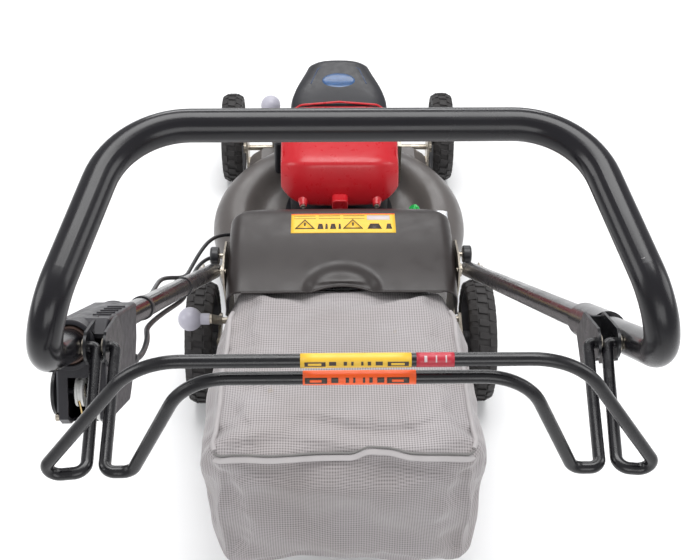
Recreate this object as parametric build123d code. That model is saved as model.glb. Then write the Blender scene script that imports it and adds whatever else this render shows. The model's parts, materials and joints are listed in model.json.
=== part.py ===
"""Petrol lawn mower with a folding loop handle, two operator bails and a rear grass bag.

Every piece is modelled in the mower's working frame, in millimetres: X to the operator's right,
Y forward from the rear axle, Z up from the ground.  The export moves the whole machine so that
the middle of its footprint is at the origin.
"""
import math
import os

from build123d import *

# ---------------------------------------------------------------- wheels and axles
WHEELBASE = 627.0
REAR_RADIUS = 110.0
FRONT_RADIUS = 96.0
REAR_HALF_TRACK = 270.0        # centre line to the outer face of a rear tyre
FRONT_HALF_TRACK = 248.0
REAR_TYRE_WIDTH = 48.0
FRONT_TYRE_WIDTH = 44.0
TYRE_DEPTH = 20.0
TYRE_SHOULDER = 9.0
AXLE_RADIUS = 6.0
RUN_FIT = 0.05                 # radial clearance of a shaft that turns in its bore
WHEEL_SIDE_GAP = 1.5           # wheel hub to crank arm
HUB_RADIUS = 17.0
HUB_CAP_RADIUS = 24.0
HUB_CAP_DEPTH = 5.0
RIM_WEB = 5.0
CRANK_ARM = 46.0               # height crank: cross shaft to stub axle, along Y
CRANK_PLATE = 5.0
CRANK_RISE = 8.0               # cross shaft above the stub axle
SHAFT_RADIUS = 6.0
FRONT_KNOB_AT = (-138.0, 546.0, 240.0)
REAR_KNOB_AT = (-252.0, -86.0, 257.0)
KNOB_RADIUS = 20.0
LEVER_THICKNESS = 4.0
LEVER_WIDTH = 16.0

# ---------------------------------------------------------------- deck
BLADE_AXIS_Y = 300.0
DECK_RADIUS = 245.0
DECK_WALL = 4.0
SKIRT_BOTTOM = 38.0
SHOULDER_START = 112.0
CREST_RADIUS = 196.0
CREST_HEIGHT = 174.0
SEAT_RADIUS = 140.0
SEAT_HEIGHT = 150.0
DECK_FRONT_Y = 556.0
DECK_FRONT_HALF = 186.0
FRONT_TOP = 142.0
CHEEK_HALF = 190.0             # outer face of the rear side cheeks
CHEEK_TOP = 166.0
CHEEK_REAR_Y = -52.0
CHEEK_WALL = 5.0
CHUTE_HALF = 150.0
CHUTE_WALL = 4.0
CHUTE_TOP = 308.0
CHUTE_FLOOR = 140.0
CHUTE_FRONT_Y = 150.0
PLATE_THICKNESS = 1.2

# ---------------------------------------------------------------- cutting gear
BLADE_HALF_LENGTH = 232.0
BLADE_WIDTH = 52.0
BLADE_THICKNESS = 3.5
BLADE_HEIGHT = 52.0
CRANKSHAFT_RADIUS = 12.5

# ---------------------------------------------------------------- engine
FLANGE_RADIUS = 104.0
COWL_HALF = 104.0
COWL_REAR_Y = 166.0
COWL_CREASE_Y = 189.0
COWL_FRONT_Y = 330.0
COWL_BOTTOM = 284.0
COWL_CREASE_Z = 370.0
COWL_TOP = 391.0
PANEL_WALL = 2.5
COVER_REAR_HALF = 90.0
COVER_TIP_HALF = 50.0
COVER_TIP_Y = 500.0
COVER_APEX_Y = 462.0
COVER_APEX_Z = 400.0

# ---------------------------------------------------------------- rear cover and bag
LID_HALF = 186.0
LID_WALL = 3.0
LID_HINGE_Y = 97.0
LID_HINGE_Z = 319.0
LID_REAR_Y = -126.0
LID_SKIRT_Z = 300.0
LID_CREST_Z = 371.0
LID_REAR_Z = 357.0
LID_SIDE_R = 24.0
HINGE_ROD_RADIUS = 3.0
BAG_HALF = 197.0
BAG_WALL = 3.0
BAG_FRONT_Y = -132.0
BAG_REAR_Y = -478.0
BAG_TOP_FRONT = 348.0
BAG_TOP_REAR = 388.0
BAG_BOTTOM = 92.0
NECK_HALF = 148.0
NECK_TOP = 300.0
NECK_BOTTOM = 150.0
BAG_WIRE = 3.5
CHUTE_GAP = 2.0

# ---------------------------------------------------------------- handle
PIVOT_X = 210.0
PIVOT_Y = -60.0
PIVOT_Z = 341.0
BAIL_AXIS_Y = -766.0
BAIL_AXIS_Z = 918.0
TUBE_RADIUS = 12.7
LOOP_RADIUS = 14.5
TUBE_WALL = 1.8
LEG_TAIL = 22.0                # lower tube past the fold pivot
LOOP_BEND_X = 253.0
LOOP_BEND_PAST = 131.0         # lower bend of the loop beyond the bail axis, along the leg
LOOP_BEND_R = 46.0
LOOP_TOP_X = 195.5
LOOP_TOP_Y = -648.0
LOOP_TOP_Z = 1066.0
LOOP_TOP_R = 75.0
SLEEVE_RADIUS = 18.0
SLEEVE_LENGTH = 84.0
SLEEVE_END = 92.0              # upper end of the sleeve short of the bail axis
BRACKET_PLATE = 3.0
BOLT_RADIUS = 4.0
WASHER_GAP = 1.2
LOCK_KNOB_AT = (-8.0, 328.0)
LOCK_KNOB_RADIUS = 15.0
LOCK_KNOB_WIDTH = 15.0

# ---------------------------------------------------------------- bails
ROD_RADIUS = 5.0
BAIL_BEND = 6.0
DRIVE_PIVOT_X = 221.0
DRIVE_ARM_X = (-210.5, 205.0)    # left and right, since both bails sit a little to the left
DRIVE_ELBOW_X = (-250.0, 240.0)
DRIVE_CORNER_X = (-158.0, 158.0)
DRIVE_CORNER_R = 62.0
DRIVE_BAR = (-900.0, 1045.0)
BLADE_PIVOT_X = 204.5
BLADE_ARM_X = (-196.5, 191.5)
BLADE_FOOT_X = (-175.0, 170.0)
BLADE_CORNER_X = (-124.5, 122.5)
BLADE_CORNER_R = 50.0
BLADE_BAR = (-900.4, 1027.0)   # nearer the axis than the other bar, so that one bail nests in the other
ELBOW_BACK = 136.5             # elbows behind the bail axis
ELBOW_RISE = 3.0
ELBOW_R = 9.0
EAR_PLATE = 2.5
EAR_RADIUS = 13.0

# ---------------------------------------------------------------- control box and cables
BOX_INNER_X = -216.0
BOX_OUTER_X = -258.0
BOX_START = 182.0              # box end nearest the deck, short of the bail axis, along the leg
BOX_STOP = 12.0
BOX_ABOVE = 21.0
BOX_BELOW = 72.0
BOX_WALL = 3.0
CABLE_RADIUS = 3.2
FOLD_GAP = 5.4                 # cable ends short of the fold axis, so that they clear when folded


# ================================================================ helpers
def yz_block(points, x0, x1):
    """Closed side outline, given as (Y, Z) points, extruded from x0 to x1."""
    face = Plane.YZ.offset(x0) * make_face(Polyline(*points, close=True))
    return extrude(face, amount=x1 - x0, dir=(1, 0, 0))


def xy_block(points, z0, z1):
    """Closed plan outline, given as (X, Y) points, extruded from z0 to z1."""
    face = Plane.XY.offset(z0) * make_face(Polyline(*points, close=True))
    return extrude(face, amount=z1 - z0, dir=(0, 0, 1))


def cyl_x(x0, x1, y, z, radius):
    """Cylinder along X between two stations."""
    base = Pos(min(x0, x1), y, z) * Rot(0, 90, 0)
    return base * Cylinder(radius, abs(x1 - x0), align=(Align.CENTER, Align.CENTER, Align.MIN))


def cyl_z(x, y, z0, z1, radius):
    """Cylinder along Z between two heights."""
    return Pos(x, y, z0) * Cylinder(radius, z1 - z0, align=(Align.CENTER, Align.CENTER, Align.MIN))


def cyl_between(start, end, radius):
    """Cylinder with its axis from one point to another."""
    start, end = Vector(*start), Vector(*end)
    frame = Plane(origin=start, z_dir=end - start)
    return frame * Cylinder(radius, (end - start).length, align=(Align.CENTER, Align.CENTER, Align.MIN))


def box_between(x0, x1, y0, y1, z0, z1):
    """Upright box from its two corners."""
    return Pos(x0, y0, z0) * Box(x1 - x0, y1 - y0, z1 - z0, align=(Align.MIN, Align.MIN, Align.MIN))


def swept(points, radii, radius):
    """Round bar along straight runs joined by tangent arcs."""
    path = FilletPolyline(*points, radius=radii)
    section = Plane(origin=path @ 0, z_dir=path % 0) * Circle(radius)
    return sweep(section, path=path)


def mirrored(points):
    """A half outline followed by its mirror image across the centre line."""
    return points + [(-x, y, z) for x, y, z in reversed(points)]


def flipped(shape):
    """The same shape on the other side of the centre line."""
    return mirror(shape, about=Plane.YZ)


def whole(shapes):
    """Several separate solids as one group."""
    return Compound(children=[solid for shape in shapes for solid in shape.solids()])


def leg_frame():
    """Direction of the handle leg in the YZ plane, its length to the bail axis and its flare."""
    dy, dz = BAIL_AXIS_Y - PIVOT_Y, BAIL_AXIS_Z - PIVOT_Z
    length = math.hypot(dy, dz)
    flare = (LOOP_BEND_X - PIVOT_X) / (length + LOOP_BEND_PAST)
    return dy / length, dz / length, length, flare


def leg_point(distance, side=1.0, offset=0.0):
    """Point on the handle leg, measured from the fold pivot, with an offset square to it."""
    uy, uz, _, flare = leg_frame()
    x = side * (PIVOT_X + flare * distance)
    return (x, PIVOT_Y + uy * distance + uz * offset, PIVOT_Z + uz * distance - uy * offset)


# ================================================================ wheels
def ring(radius_out, radius_in, width, shoulder):
    """Tyre ring about X, centred on the origin, with rounded shoulders."""
    tyre = Rot(0, 90, 0) * Cylinder(radius_out, width)
    edges = [e for e in tyre.edges() if e.geom_type == GeomType.CIRCLE]
    tyre = fillet(edges, shoulder)
    return tyre - Rot(0, 90, 0) * Cylinder(radius_in, width + 2)


def wheel_parts(side, radius, half_track, width, y):
    """Tyre, rim and hub cap of one wheel."""
    seat = radius - TYRE_DEPTH
    mid = side * (half_track - width / 2)
    place = Pos(mid, y, radius)
    tyre = place * ring(radius, seat, width, TYRE_SHOULDER)
    rim = Rot(0, 90, 0) * Cylinder(seat, width - 8)
    well = Rot(0, 90, 0) * Cylinder(seat - 4, (width - 8) / 2)
    for way in (-1, 1):
        rim -= Pos(way * ((width - 8) / 4 + RIM_WEB / 2), 0, 0) * well
    rim += Rot(0, 90, 0) * Cylinder(HUB_RADIUS, width - 2)
    for index in range(6):
        window = Pos(0, 0, (seat + HUB_RADIUS) / 2 - 2) * Rot(0, 90, 0) * Cylinder(seat / 7, width)
        rim -= Rot(60 * index, 0, 0) * window
    rim -= Rot(0, 90, 0) * Cylinder(AXLE_RADIUS + RUN_FIT, width + 2)
    outside = side * (width - 2) / 2
    cap = cyl_x(outside, outside + side * HUB_CAP_DEPTH, 0, 0, HUB_CAP_RADIUS)
    outer_edge = cap.edges().filter_by(GeomType.CIRCLE).sort_by(Axis.X)[-1 if side > 0 else 0]
    cap = fillet(outer_edge, HUB_CAP_DEPTH * 0.6)
    return tyre, place * rim, place * cap


def add_wheels(nodes):
    for name, side, radius, half, width, y in (
        ("front_left", -1, FRONT_RADIUS, FRONT_HALF_TRACK, FRONT_TYRE_WIDTH, WHEELBASE),
        ("front_right", 1, FRONT_RADIUS, FRONT_HALF_TRACK, FRONT_TYRE_WIDTH, WHEELBASE),
        ("rear_left", -1, REAR_RADIUS, REAR_HALF_TRACK, REAR_TYRE_WIDTH, 0.0),
        ("rear_right", 1, REAR_RADIUS, REAR_HALF_TRACK, REAR_TYRE_WIDTH, 0.0),
    ):
        tyre, rim, cap = wheel_parts(side, radius, half, width, y)
        nodes[f"{name}_tyre"] = tyre
        nodes[f"{name}_rim"] = whole([rim, cap])


# ================================================================ height cranks
def crank_pivot(front):
    """(Y, Z) of a cross shaft: behind the front axle, ahead of the rear one."""
    if front:
        return WHEELBASE - CRANK_ARM, FRONT_RADIUS + CRANK_RISE
    return CRANK_ARM, REAR_RADIUS + CRANK_RISE


def crank_plate_x(front):
    """Inner and outer X of a crank's arm, clear of the wheel hub."""
    half, width = (FRONT_HALF_TRACK, FRONT_TYRE_WIDTH) if front else (REAR_HALF_TRACK, REAR_TYRE_WIDTH)
    outer = half - width - WHEEL_SIDE_GAP
    return outer - CRANK_PLATE, outer


def crank(front):
    """Cross shaft, two arms and two stub axles in one welded piece."""
    y, z = crank_pivot(front)
    axle_y, axle_z = (WHEELBASE, FRONT_RADIUS) if front else (0.0, REAR_RADIUS)
    half, width = (FRONT_HALF_TRACK, FRONT_TYRE_WIDTH) if front else (REAR_HALF_TRACK, REAR_TYRE_WIDTH)
    inner, outer = crank_plate_x(front)
    body = cyl_x(-outer, outer, y, z, SHAFT_RADIUS)
    for side in (-1, 1):
        x0, x1 = sorted((side * inner, side * outer))
        arm = cyl_x(x0, x1, y, z, 12) + cyl_x(x0, x1, axle_y, axle_z, 12)
        angle = math.atan2(axle_z - z, axle_y - y)
        ny, nz = -12 * math.sin(angle), 12 * math.cos(angle)
        web = [(y + ny, z + nz), (axle_y + ny, axle_z + nz), (axle_y - ny, axle_z - nz), (y - ny, z - nz)]
        body += arm + yz_block(web, x0, x1)
        body += cyl_x(side * outer, side * (half - 2), axle_y, axle_z, AXLE_RADIUS)
    if not front:
        body += cyl_x(-outer, outer, axle_y, axle_z, AXLE_RADIUS)
    return body


def lever(pivot, knob, x0, x1):
    """Flat steel lever from a cross shaft to its knob."""
    (y, z), (ky, kz) = pivot, knob
    angle = math.atan2(kz - z, ky - y)
    half = LEVER_WIDTH / 2
    ny, nz = -half * math.sin(angle), half * math.cos(angle)
    bar = yz_block([(y + ny, z + nz), (ky + ny, kz + nz), (ky - ny, kz - nz), (y - ny, z - nz)], x0, x1)
    bar += cyl_x(x0, x1, y, z, 14) + cyl_x(x0, x1, ky, kz, half)
    return bar - cyl_x(x0 - 1, x1 + 1, y, z, SHAFT_RADIUS)


def ball_knob(neck_radius, neck_length):
    """Ball knob centred on the origin with its neck pointing down."""
    drop = math.sqrt(KNOB_RADIUS**2 - neck_radius**2)
    with BuildSketch(Plane.XZ) as outline:
        with BuildLine():
            ball = ThreePointArc((0, KNOB_RADIUS), (KNOB_RADIUS, 0), (neck_radius, -drop))
            neck = Line(ball @ 1, (neck_radius, -neck_length))
            foot = Line(neck @ 1, (0, -neck_length))
            Line(foot @ 1, ball @ 0)
        make_face()
    return revolve(outline.sketch, axis=Axis.Z)


def add_cranks(nodes):
    front_pivot, rear_pivot = crank_pivot(True), crank_pivot(False)
    nodes["front_axle_crank"] = crank(True)
    nodes["rear_axle_crank"] = crank(False)
    fx, fy, fz = FRONT_KNOB_AT
    half = LEVER_THICKNESS / 2
    nodes["front_height_lever"] = lever(front_pivot, (fy, fz - KNOB_RADIUS), fx - half, fx + half)
    front_knob = Pos(fx, fy, fz) * ball_knob(9, KNOB_RADIUS + 3)
    nodes["front_height_knob"] = front_knob - nodes["front_height_lever"]
    rx, ry, rz = REAR_KNOB_AT
    _, outer = crank_plate_x(False)
    lever_x = -outer + CRANK_PLATE - LEVER_THICKNESS
    nodes["rear_height_lever"] = lever(rear_pivot, (ry, rz), lever_x, lever_x + LEVER_THICKNESS)
    nodes["rear_height_lever"] -= nodes["rear_axle_crank"]
    nodes["rear_height_knob"] = Pos(rx, ry, rz) * Rot(0, -90, 0) * ball_knob(9.5, lever_x - rx)
    case = box_between(-42, 42, -34, 30, REAR_RADIUS - 26, REAR_RADIUS + 20)
    case = fillet(case.edges(), 7)
    for side in (-1, 1):
        case += cyl_x(side * 40, side * 58, 0, REAR_RADIUS, 15)
    nodes["transmission_case"] = case - cyl_x(-80, 80, 0, REAR_RADIUS, AXLE_RADIUS)


# ================================================================ deck
def deck_body(inset):
    """Closed deck shape; a positive inset gives the matching inner shape."""
    radius, crest = DECK_RADIUS - inset, CREST_HEIGHT - inset
    seat, bottom = SEAT_HEIGHT - inset, SKIRT_BOTTOM - inset * 0.5
    floor = SKIRT_BOTTOM if inset == 0 else bottom - 2
    with BuildSketch(Plane.XZ) as outline:
        with BuildLine():
            l1 = Line((0, floor), (radius, floor))
            l2 = Line(l1 @ 1, (radius, SHOULDER_START))
            a1 = ThreePointArc(
                l2 @ 1,
                (radius - 0.20 * (radius - CREST_RADIUS), SHOULDER_START + 0.72 * (crest - SHOULDER_START)),
                (CREST_RADIUS, crest),
            )
            s1 = Spline(
                a1 @ 1,
                ((CREST_RADIUS + SEAT_RADIUS) / 2, (crest + seat) / 2),
                (SEAT_RADIUS, seat),
                tangents=((-1, 0, 0), (-1, 0, 0)),
            )
            l3 = Line(s1 @ 1, (0, seat))
            Line(l3 @ 1, l1 @ 0)
        make_face()
    dome = Pos(0, BLADE_AXIS_Y, 0) * revolve(outline.sketch, axis=Axis.Z)
    half, front = DECK_FRONT_HALF - inset, DECK_FRONT_Y - inset
    nose_plan = [
        (-half, front), (-half, front - 70), (-radius + 3, BLADE_AXIS_Y + 60), (-radius + 6, BLADE_AXIS_Y - 10),
        (radius - 6, BLADE_AXIS_Y - 10), (radius - 3, BLADE_AXIS_Y + 60), (half, front - 70), (half, front),
    ]
    nose = xy_block(nose_plan, floor, FRONT_TOP - inset)
    corners = [e for e in nose.edges().filter_by(Axis.Z) if e.center().Y > front - 80]
    nose = fillet(corners, 34 - inset)
    top = nose.faces().sort_by(Axis.Z)[-1]
    rim = [e for e in top.edges() if e.center().Y > BLADE_AXIS_Y]
    nose = chamfer(rim, 26 - inset)
    ridge = cyl_z(0, BLADE_AXIS_Y, SEAT_HEIGHT - inset, FRONT_TOP + 60, SEAT_RADIUS)
    return dome + (nose - ridge)


def deck_cheek(side):
    """Rear side cheek: an angle of cast wall that carries the axle bush and the handle bracket."""
    outer = side * CHEEK_HALF
    inner = side * (CHEEK_HALF - CHEEK_WALL)
    y, z = crank_pivot(False)
    side_plan = [(CHEEK_REAR_Y, CHEEK_TOP), (210, CHEEK_TOP), (210, 70), (110, 92), (64, z), (CHEEK_REAR_Y, z + 12)]
    x0, x1 = sorted((inner, outer))
    cheek = yz_block(side_plan, x0, x1) + cyl_x(x0, x1, y, z, 16)
    x0, x1 = sorted((side * CHUTE_HALF, outer))
    return cheek + box_between(x0, x1, CHEEK_REAR_Y, 205, CHEEK_TOP - CHEEK_WALL, CHEEK_TOP)


def chute_side(inset, overrun):
    """Side outline of the discharge tunnel."""
    rear = CHEEK_REAR_Y - overrun
    return [
        (CHUTE_FRONT_Y + overrun, CHUTE_FLOOR + inset - overrun * 2),
        (60 + inset, CHUTE_FLOOR - 6 + inset),
        (rear, CHUTE_FLOOR + inset),
        (rear, CHUTE_TOP - inset),
        (LID_HINGE_Y - inset, CHUTE_TOP - inset),
        (CHUTE_FRONT_Y + overrun, 240 - inset),
    ]


def add_deck(nodes):
    outer = deck_body(0.0)
    bore = yz_block(chute_side(CHUTE_WALL, 12.0), -CHUTE_HALF + CHUTE_WALL, CHUTE_HALF - CHUTE_WALL)
    pivot_y, pivot_z = crank_pivot(False)
    deck = outer + deck_cheek(-1) + deck_cheek(1)
    deck -= deck_body(DECK_WALL)
    deck -= bore
    deck -= cyl_x(-CHEEK_HALF - 5, CHEEK_HALF + 5, pivot_y, pivot_z, SHAFT_RADIUS + RUN_FIT)
    deck -= cyl_z(0, BLADE_AXIS_Y, 100, SEAT_HEIGHT + 5, CRANKSHAFT_RADIUS + 8)
    nodes["deck_shell"] = max(deck.solids(), key=lambda s: s.volume)
    tunnel = yz_block(chute_side(0.0, 0.0), -CHUTE_HALF, CHUTE_HALF) - bore - outer
    for side in (-1, 1):
        for x in (60.0, 140.0):
            lug = box_between(side * x - 4, side * x + 4, LID_HINGE_Y - 8, LID_HINGE_Y + 8, CHUTE_TOP - 40, LID_HINGE_Z)
            lug += cyl_x(side * x - 4, side * x + 4, LID_HINGE_Y, LID_HINGE_Z, 7)
            tunnel += lug - bore
    tunnel -= cyl_x(-CHUTE_HALF, CHUTE_HALF, LID_HINGE_Y, LID_HINGE_Z, HINGE_ROD_RADIUS)
    nodes["discharge_chute"] = max(tunnel.solids(), key=lambda s: s.volume)
    nodes["cover_hinge_rod"] = cyl_x(-146, 146, LID_HINGE_Y, LID_HINGE_Z, HINGE_ROD_RADIUS)
    add_front_brackets(nodes)
    add_handle_brackets(nodes)
    plate = box_between(168, 210, 240, 284, SEAT_HEIGHT, CREST_HEIGHT + 5) & deck_body(-PLATE_THICKNESS)
    nodes["data_plate"] = plate - outer


def add_front_brackets(nodes):
    """Bolted plates that hold the front cross shaft, and the toothed quadrants of both levers."""
    y, z = crank_pivot(True)
    inner, _ = crank_plate_x(True)
    plates = []
    for side in (-1, 1):
        x1 = inner - 3.0
        x0 = x1 - 4.0
        outline = [(y - 42, 70), (y + 16, z - 16), (y + 16, z + 16), (y + 2, 176), (y - 42, 176)]
        plate = yz_block(outline, x0, x1) - cyl_x(x0 - 1, x1 + 1, y, z, SHAFT_RADIUS + RUN_FIT)
        foot = box_between(DECK_FRONT_HALF, x0, y - 42, y - 22, 76, 96)
        plate += foot
        plates.append(plate if side > 0 else flipped(plate))
    fx, fy, fz = FRONT_KNOB_AT
    quadrant = yz_block([(528, FRONT_TOP - 14), (552, FRONT_TOP - 14), (600, 150), (600, 200), (540, 204), (528, 170)],
                        fx + 5, fx + 8)
    for index in range(6):
        angle = math.radians(98 - 9 * index)
        tooth = (y + 98 * math.cos(angle), z + 98 * math.sin(angle))
        quadrant -= cyl_x(fx, fx + 12, tooth[0], tooth[1], 3)
    nodes["front_axle_brackets"] = whole(plates + [quadrant - deck_body(0.0)])


def add_handle_brackets(nodes):
    """Plated brackets with their studs, fold bolts and lock knobs at the foot of the handle."""
    lock_y, lock_z = LOCK_KNOB_AT
    brackets, bolts = [], []
    outline = [
        (-50, 132), (28, 140), (40, 166), (24, 330), (6, 348), (-44, 362), (-76, 358), (-82, 330), (-62, 250),
    ]
    pivot_y, pivot_z = crank_pivot(False)
    for side in (-1, 1):
        plate = yz_block(outline, CHEEK_HALF, CHEEK_HALF + BRACKET_PLATE)
        plate -= cyl_x(CHEEK_HALF - 1, CHEEK_HALF + 9, PIVOT_Y, PIVOT_Z, BOLT_RADIUS)
        plate -= cyl_x(CHEEK_HALF - 1, CHEEK_HALF + 9, pivot_y, pivot_z, SHAFT_RADIUS + 4)
        bolt = cyl_x(CHEEK_HALF - 1.5, PIVOT_X + TUBE_RADIUS + 3, PIVOT_Y, PIVOT_Z, BOLT_RADIUS)
        bolt += cyl_x(CHEEK_HALF + BRACKET_PLATE, PIVOT_X - TUBE_RADIUS - WASHER_GAP, PIVOT_Y, PIVOT_Z, 11)
        head_x = PIVOT_X + TUBE_RADIUS + WASHER_GAP + 2
        bolt += cyl_x(head_x - 2, head_x, PIVOT_Y, PIVOT_Z, 12)
        head = Pos(head_x, PIVOT_Y, PIVOT_Z) * Rot(0, 90, 0)
        bolt += head * extrude(RegularPolygon(7.5, 6), amount=5.5)
        stud = cyl_x(CHEEK_HALF, PIVOT_X - 1, lock_y, lock_z, BOLT_RADIUS)
        for shapes, shape in ((brackets, plate + stud), (bolts, bolt)):
            shapes.append(shape if side > 0 else flipped(shape))
        knob = cyl_x(PIVOT_X - 7, PIVOT_X - 7 + LOCK_KNOB_WIDTH, lock_y, lock_z, LOCK_KNOB_RADIUS)
        knob = fillet(knob.edges().filter_by(GeomType.CIRCLE), 3.5)
        knob -= cyl_x(PIVOT_X - 9, PIVOT_X, lock_y, lock_z, BOLT_RADIUS + RUN_FIT)
        name = "right" if side > 0 else "left"
        nodes[f"{name}_lock_knob"] = knob if side > 0 else flipped(knob)
    nodes["handle_brackets"] = whole(brackets)
    nodes["handle_pivot_bolts"] = whole(bolts)
    bracket_bolts = []
    for side in (-1, 1):
        for y, z in ((-34, 150), (20, 154)):
            x0, x1 = side * (CHEEK_HALF + BRACKET_PLATE), side * (CHEEK_HALF + BRACKET_PLATE + 5)
            bracket_bolts.append(cyl_x(x0, x1, y, z, 7))
    nodes["bracket_bolts"] = whole(bracket_bolts)


# ================================================================ blade and crankshaft
def add_cutting(nodes):
    y, z = BLADE_AXIS_Y, BLADE_HEIGHT
    shaft = cyl_z(0, y, z + BLADE_THICKNESS + 20, SEAT_HEIGHT + 60, CRANKSHAFT_RADIUS)
    holder = cyl_z(0, y, z + BLADE_THICKNESS, z + BLADE_THICKNESS + 36, 24)
    holder += box_between(-45, 45, y - 22, y + 22, z + BLADE_THICKNESS, z + BLADE_THICKNESS + 6)
    holder -= cyl_z(0, y, z + BLADE_THICKNESS + 20, z + 60, CRANKSHAFT_RADIUS)
    half, wide = BLADE_HALF_LENGTH, BLADE_WIDTH / 2
    plan = [(-half, y + wide), (-half + 70, y + wide), (-half + 78, y + wide - 6), (half, y + wide - 6),
            (half, y - wide), (half - 70, y - wide), (half - 78, y - wide + 6), (-half, y - wide + 6)]
    blade = xy_block(plan, z, z + BLADE_THICKNESS)
    for side in (-1, 1):
        tail = [(0, 0), (0, BLADE_THICKNESS), (14, 20), (17, 18), (3, 0)]
        points = [(y + side * (wide - 6 + dy - 3.5), z + dz) for dy, dz in tail]
        x0, x1 = sorted((side * (half - 62), side * (half - 4)))
        blade += yz_block(points, x0, x1)
    bolts = []
    for x in (-32, 32):
        blade -= cyl_z(x, y, z - 1, z + 9, 5)
        holder -= cyl_z(x, y, z + 1, z + 20, 5)
        bolts.append(cyl_z(x, y, z - 7, z, 9) + cyl_z(x, y, z - 1, z + BLADE_THICKNESS + 6, 5))
    nodes["engine_crankshaft"] = shaft
    nodes["blade_holder"] = holder
    nodes["cutting_blade"] = blade
    nodes["blade_bolts"] = whole(bolts)


# ================================================================ engine
def cowl_body(inset):
    """Closed outer shape of the red cowl; an inset gives its inside."""
    side_plan = [
        (COWL_REAR_Y + inset, COWL_BOTTOM - inset), (COWL_REAR_Y + 4 + inset, COWL_BOTTOM + 40),
        (COWL_CREASE_Y + inset * 0.4, COWL_CREASE_Z - inset), (COWL_FRONT_Y - 20, COWL_TOP - inset),
        (COWL_FRONT_Y + inset, COWL_TOP - inset), (COWL_FRONT_Y + inset, COWL_BOTTOM - inset),
    ]
    half = COWL_HALF - inset
    body = yz_block(side_plan, -half, half)
    uprights = [e for e in body.edges() if abs(e.center().X) > half - 1 and e.center().Y < COWL_CREASE_Y + 2]
    body = fillet(uprights, 20 - inset)
    long_edges = [e for e in body.edges() if e.center().Z > COWL_CREASE_Z and e.center().Y > COWL_CREASE_Y + 12
                  and abs(e.center().X) > half - 12]
    return fillet(long_edges, 9 - inset)


def top_cover_body(inset):
    """Closed outer shape of the tapered black cover in front of the cowl."""
    plan = [
        (-COVER_REAR_HALF + inset, COWL_FRONT_Y), (-COVER_REAR_HALF + 4 + inset, COWL_FRONT_Y + 40),
        (-COVER_TIP_HALF + inset, COVER_APEX_Y + 10), (-COVER_TIP_HALF + 14 + inset, COVER_TIP_Y - inset),
        (COVER_TIP_HALF - 14 - inset, COVER_TIP_Y - inset), (COVER_TIP_HALF - inset, COVER_APEX_Y + 10),
        (COVER_REAR_HALF - 4 - inset, COWL_FRONT_Y + 40), (COVER_REAR_HALF - inset, COWL_FRONT_Y),
    ]
    block = xy_block(plan, COWL_BOTTOM - inset, COVER_APEX_Z + 10)
    lid = [
        (COWL_FRONT_Y - 1, COWL_BOTTOM - 6), (COWL_FRONT_Y - 1, COWL_TOP - 3 - inset),
        (COWL_FRONT_Y + 60, COVER_APEX_Z - inset), (COVER_APEX_Y, COVER_APEX_Z - inset),
        (COVER_TIP_Y + 1, COVER_APEX_Z - 44 - inset), (COVER_TIP_Y + 1, COWL_BOTTOM - 6),
    ]
    body = block & yz_block(lid, -COVER_REAR_HALF - 5, COVER_REAR_HALF + 5)
    rim = [e for e in body.edges() if e.center().Z > COVER_APEX_Z - 30 and abs(e.center().X) > 30
           and e.center().Y > COWL_FRONT_Y + 2]
    return fillet(rim, 6 - inset)


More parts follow.
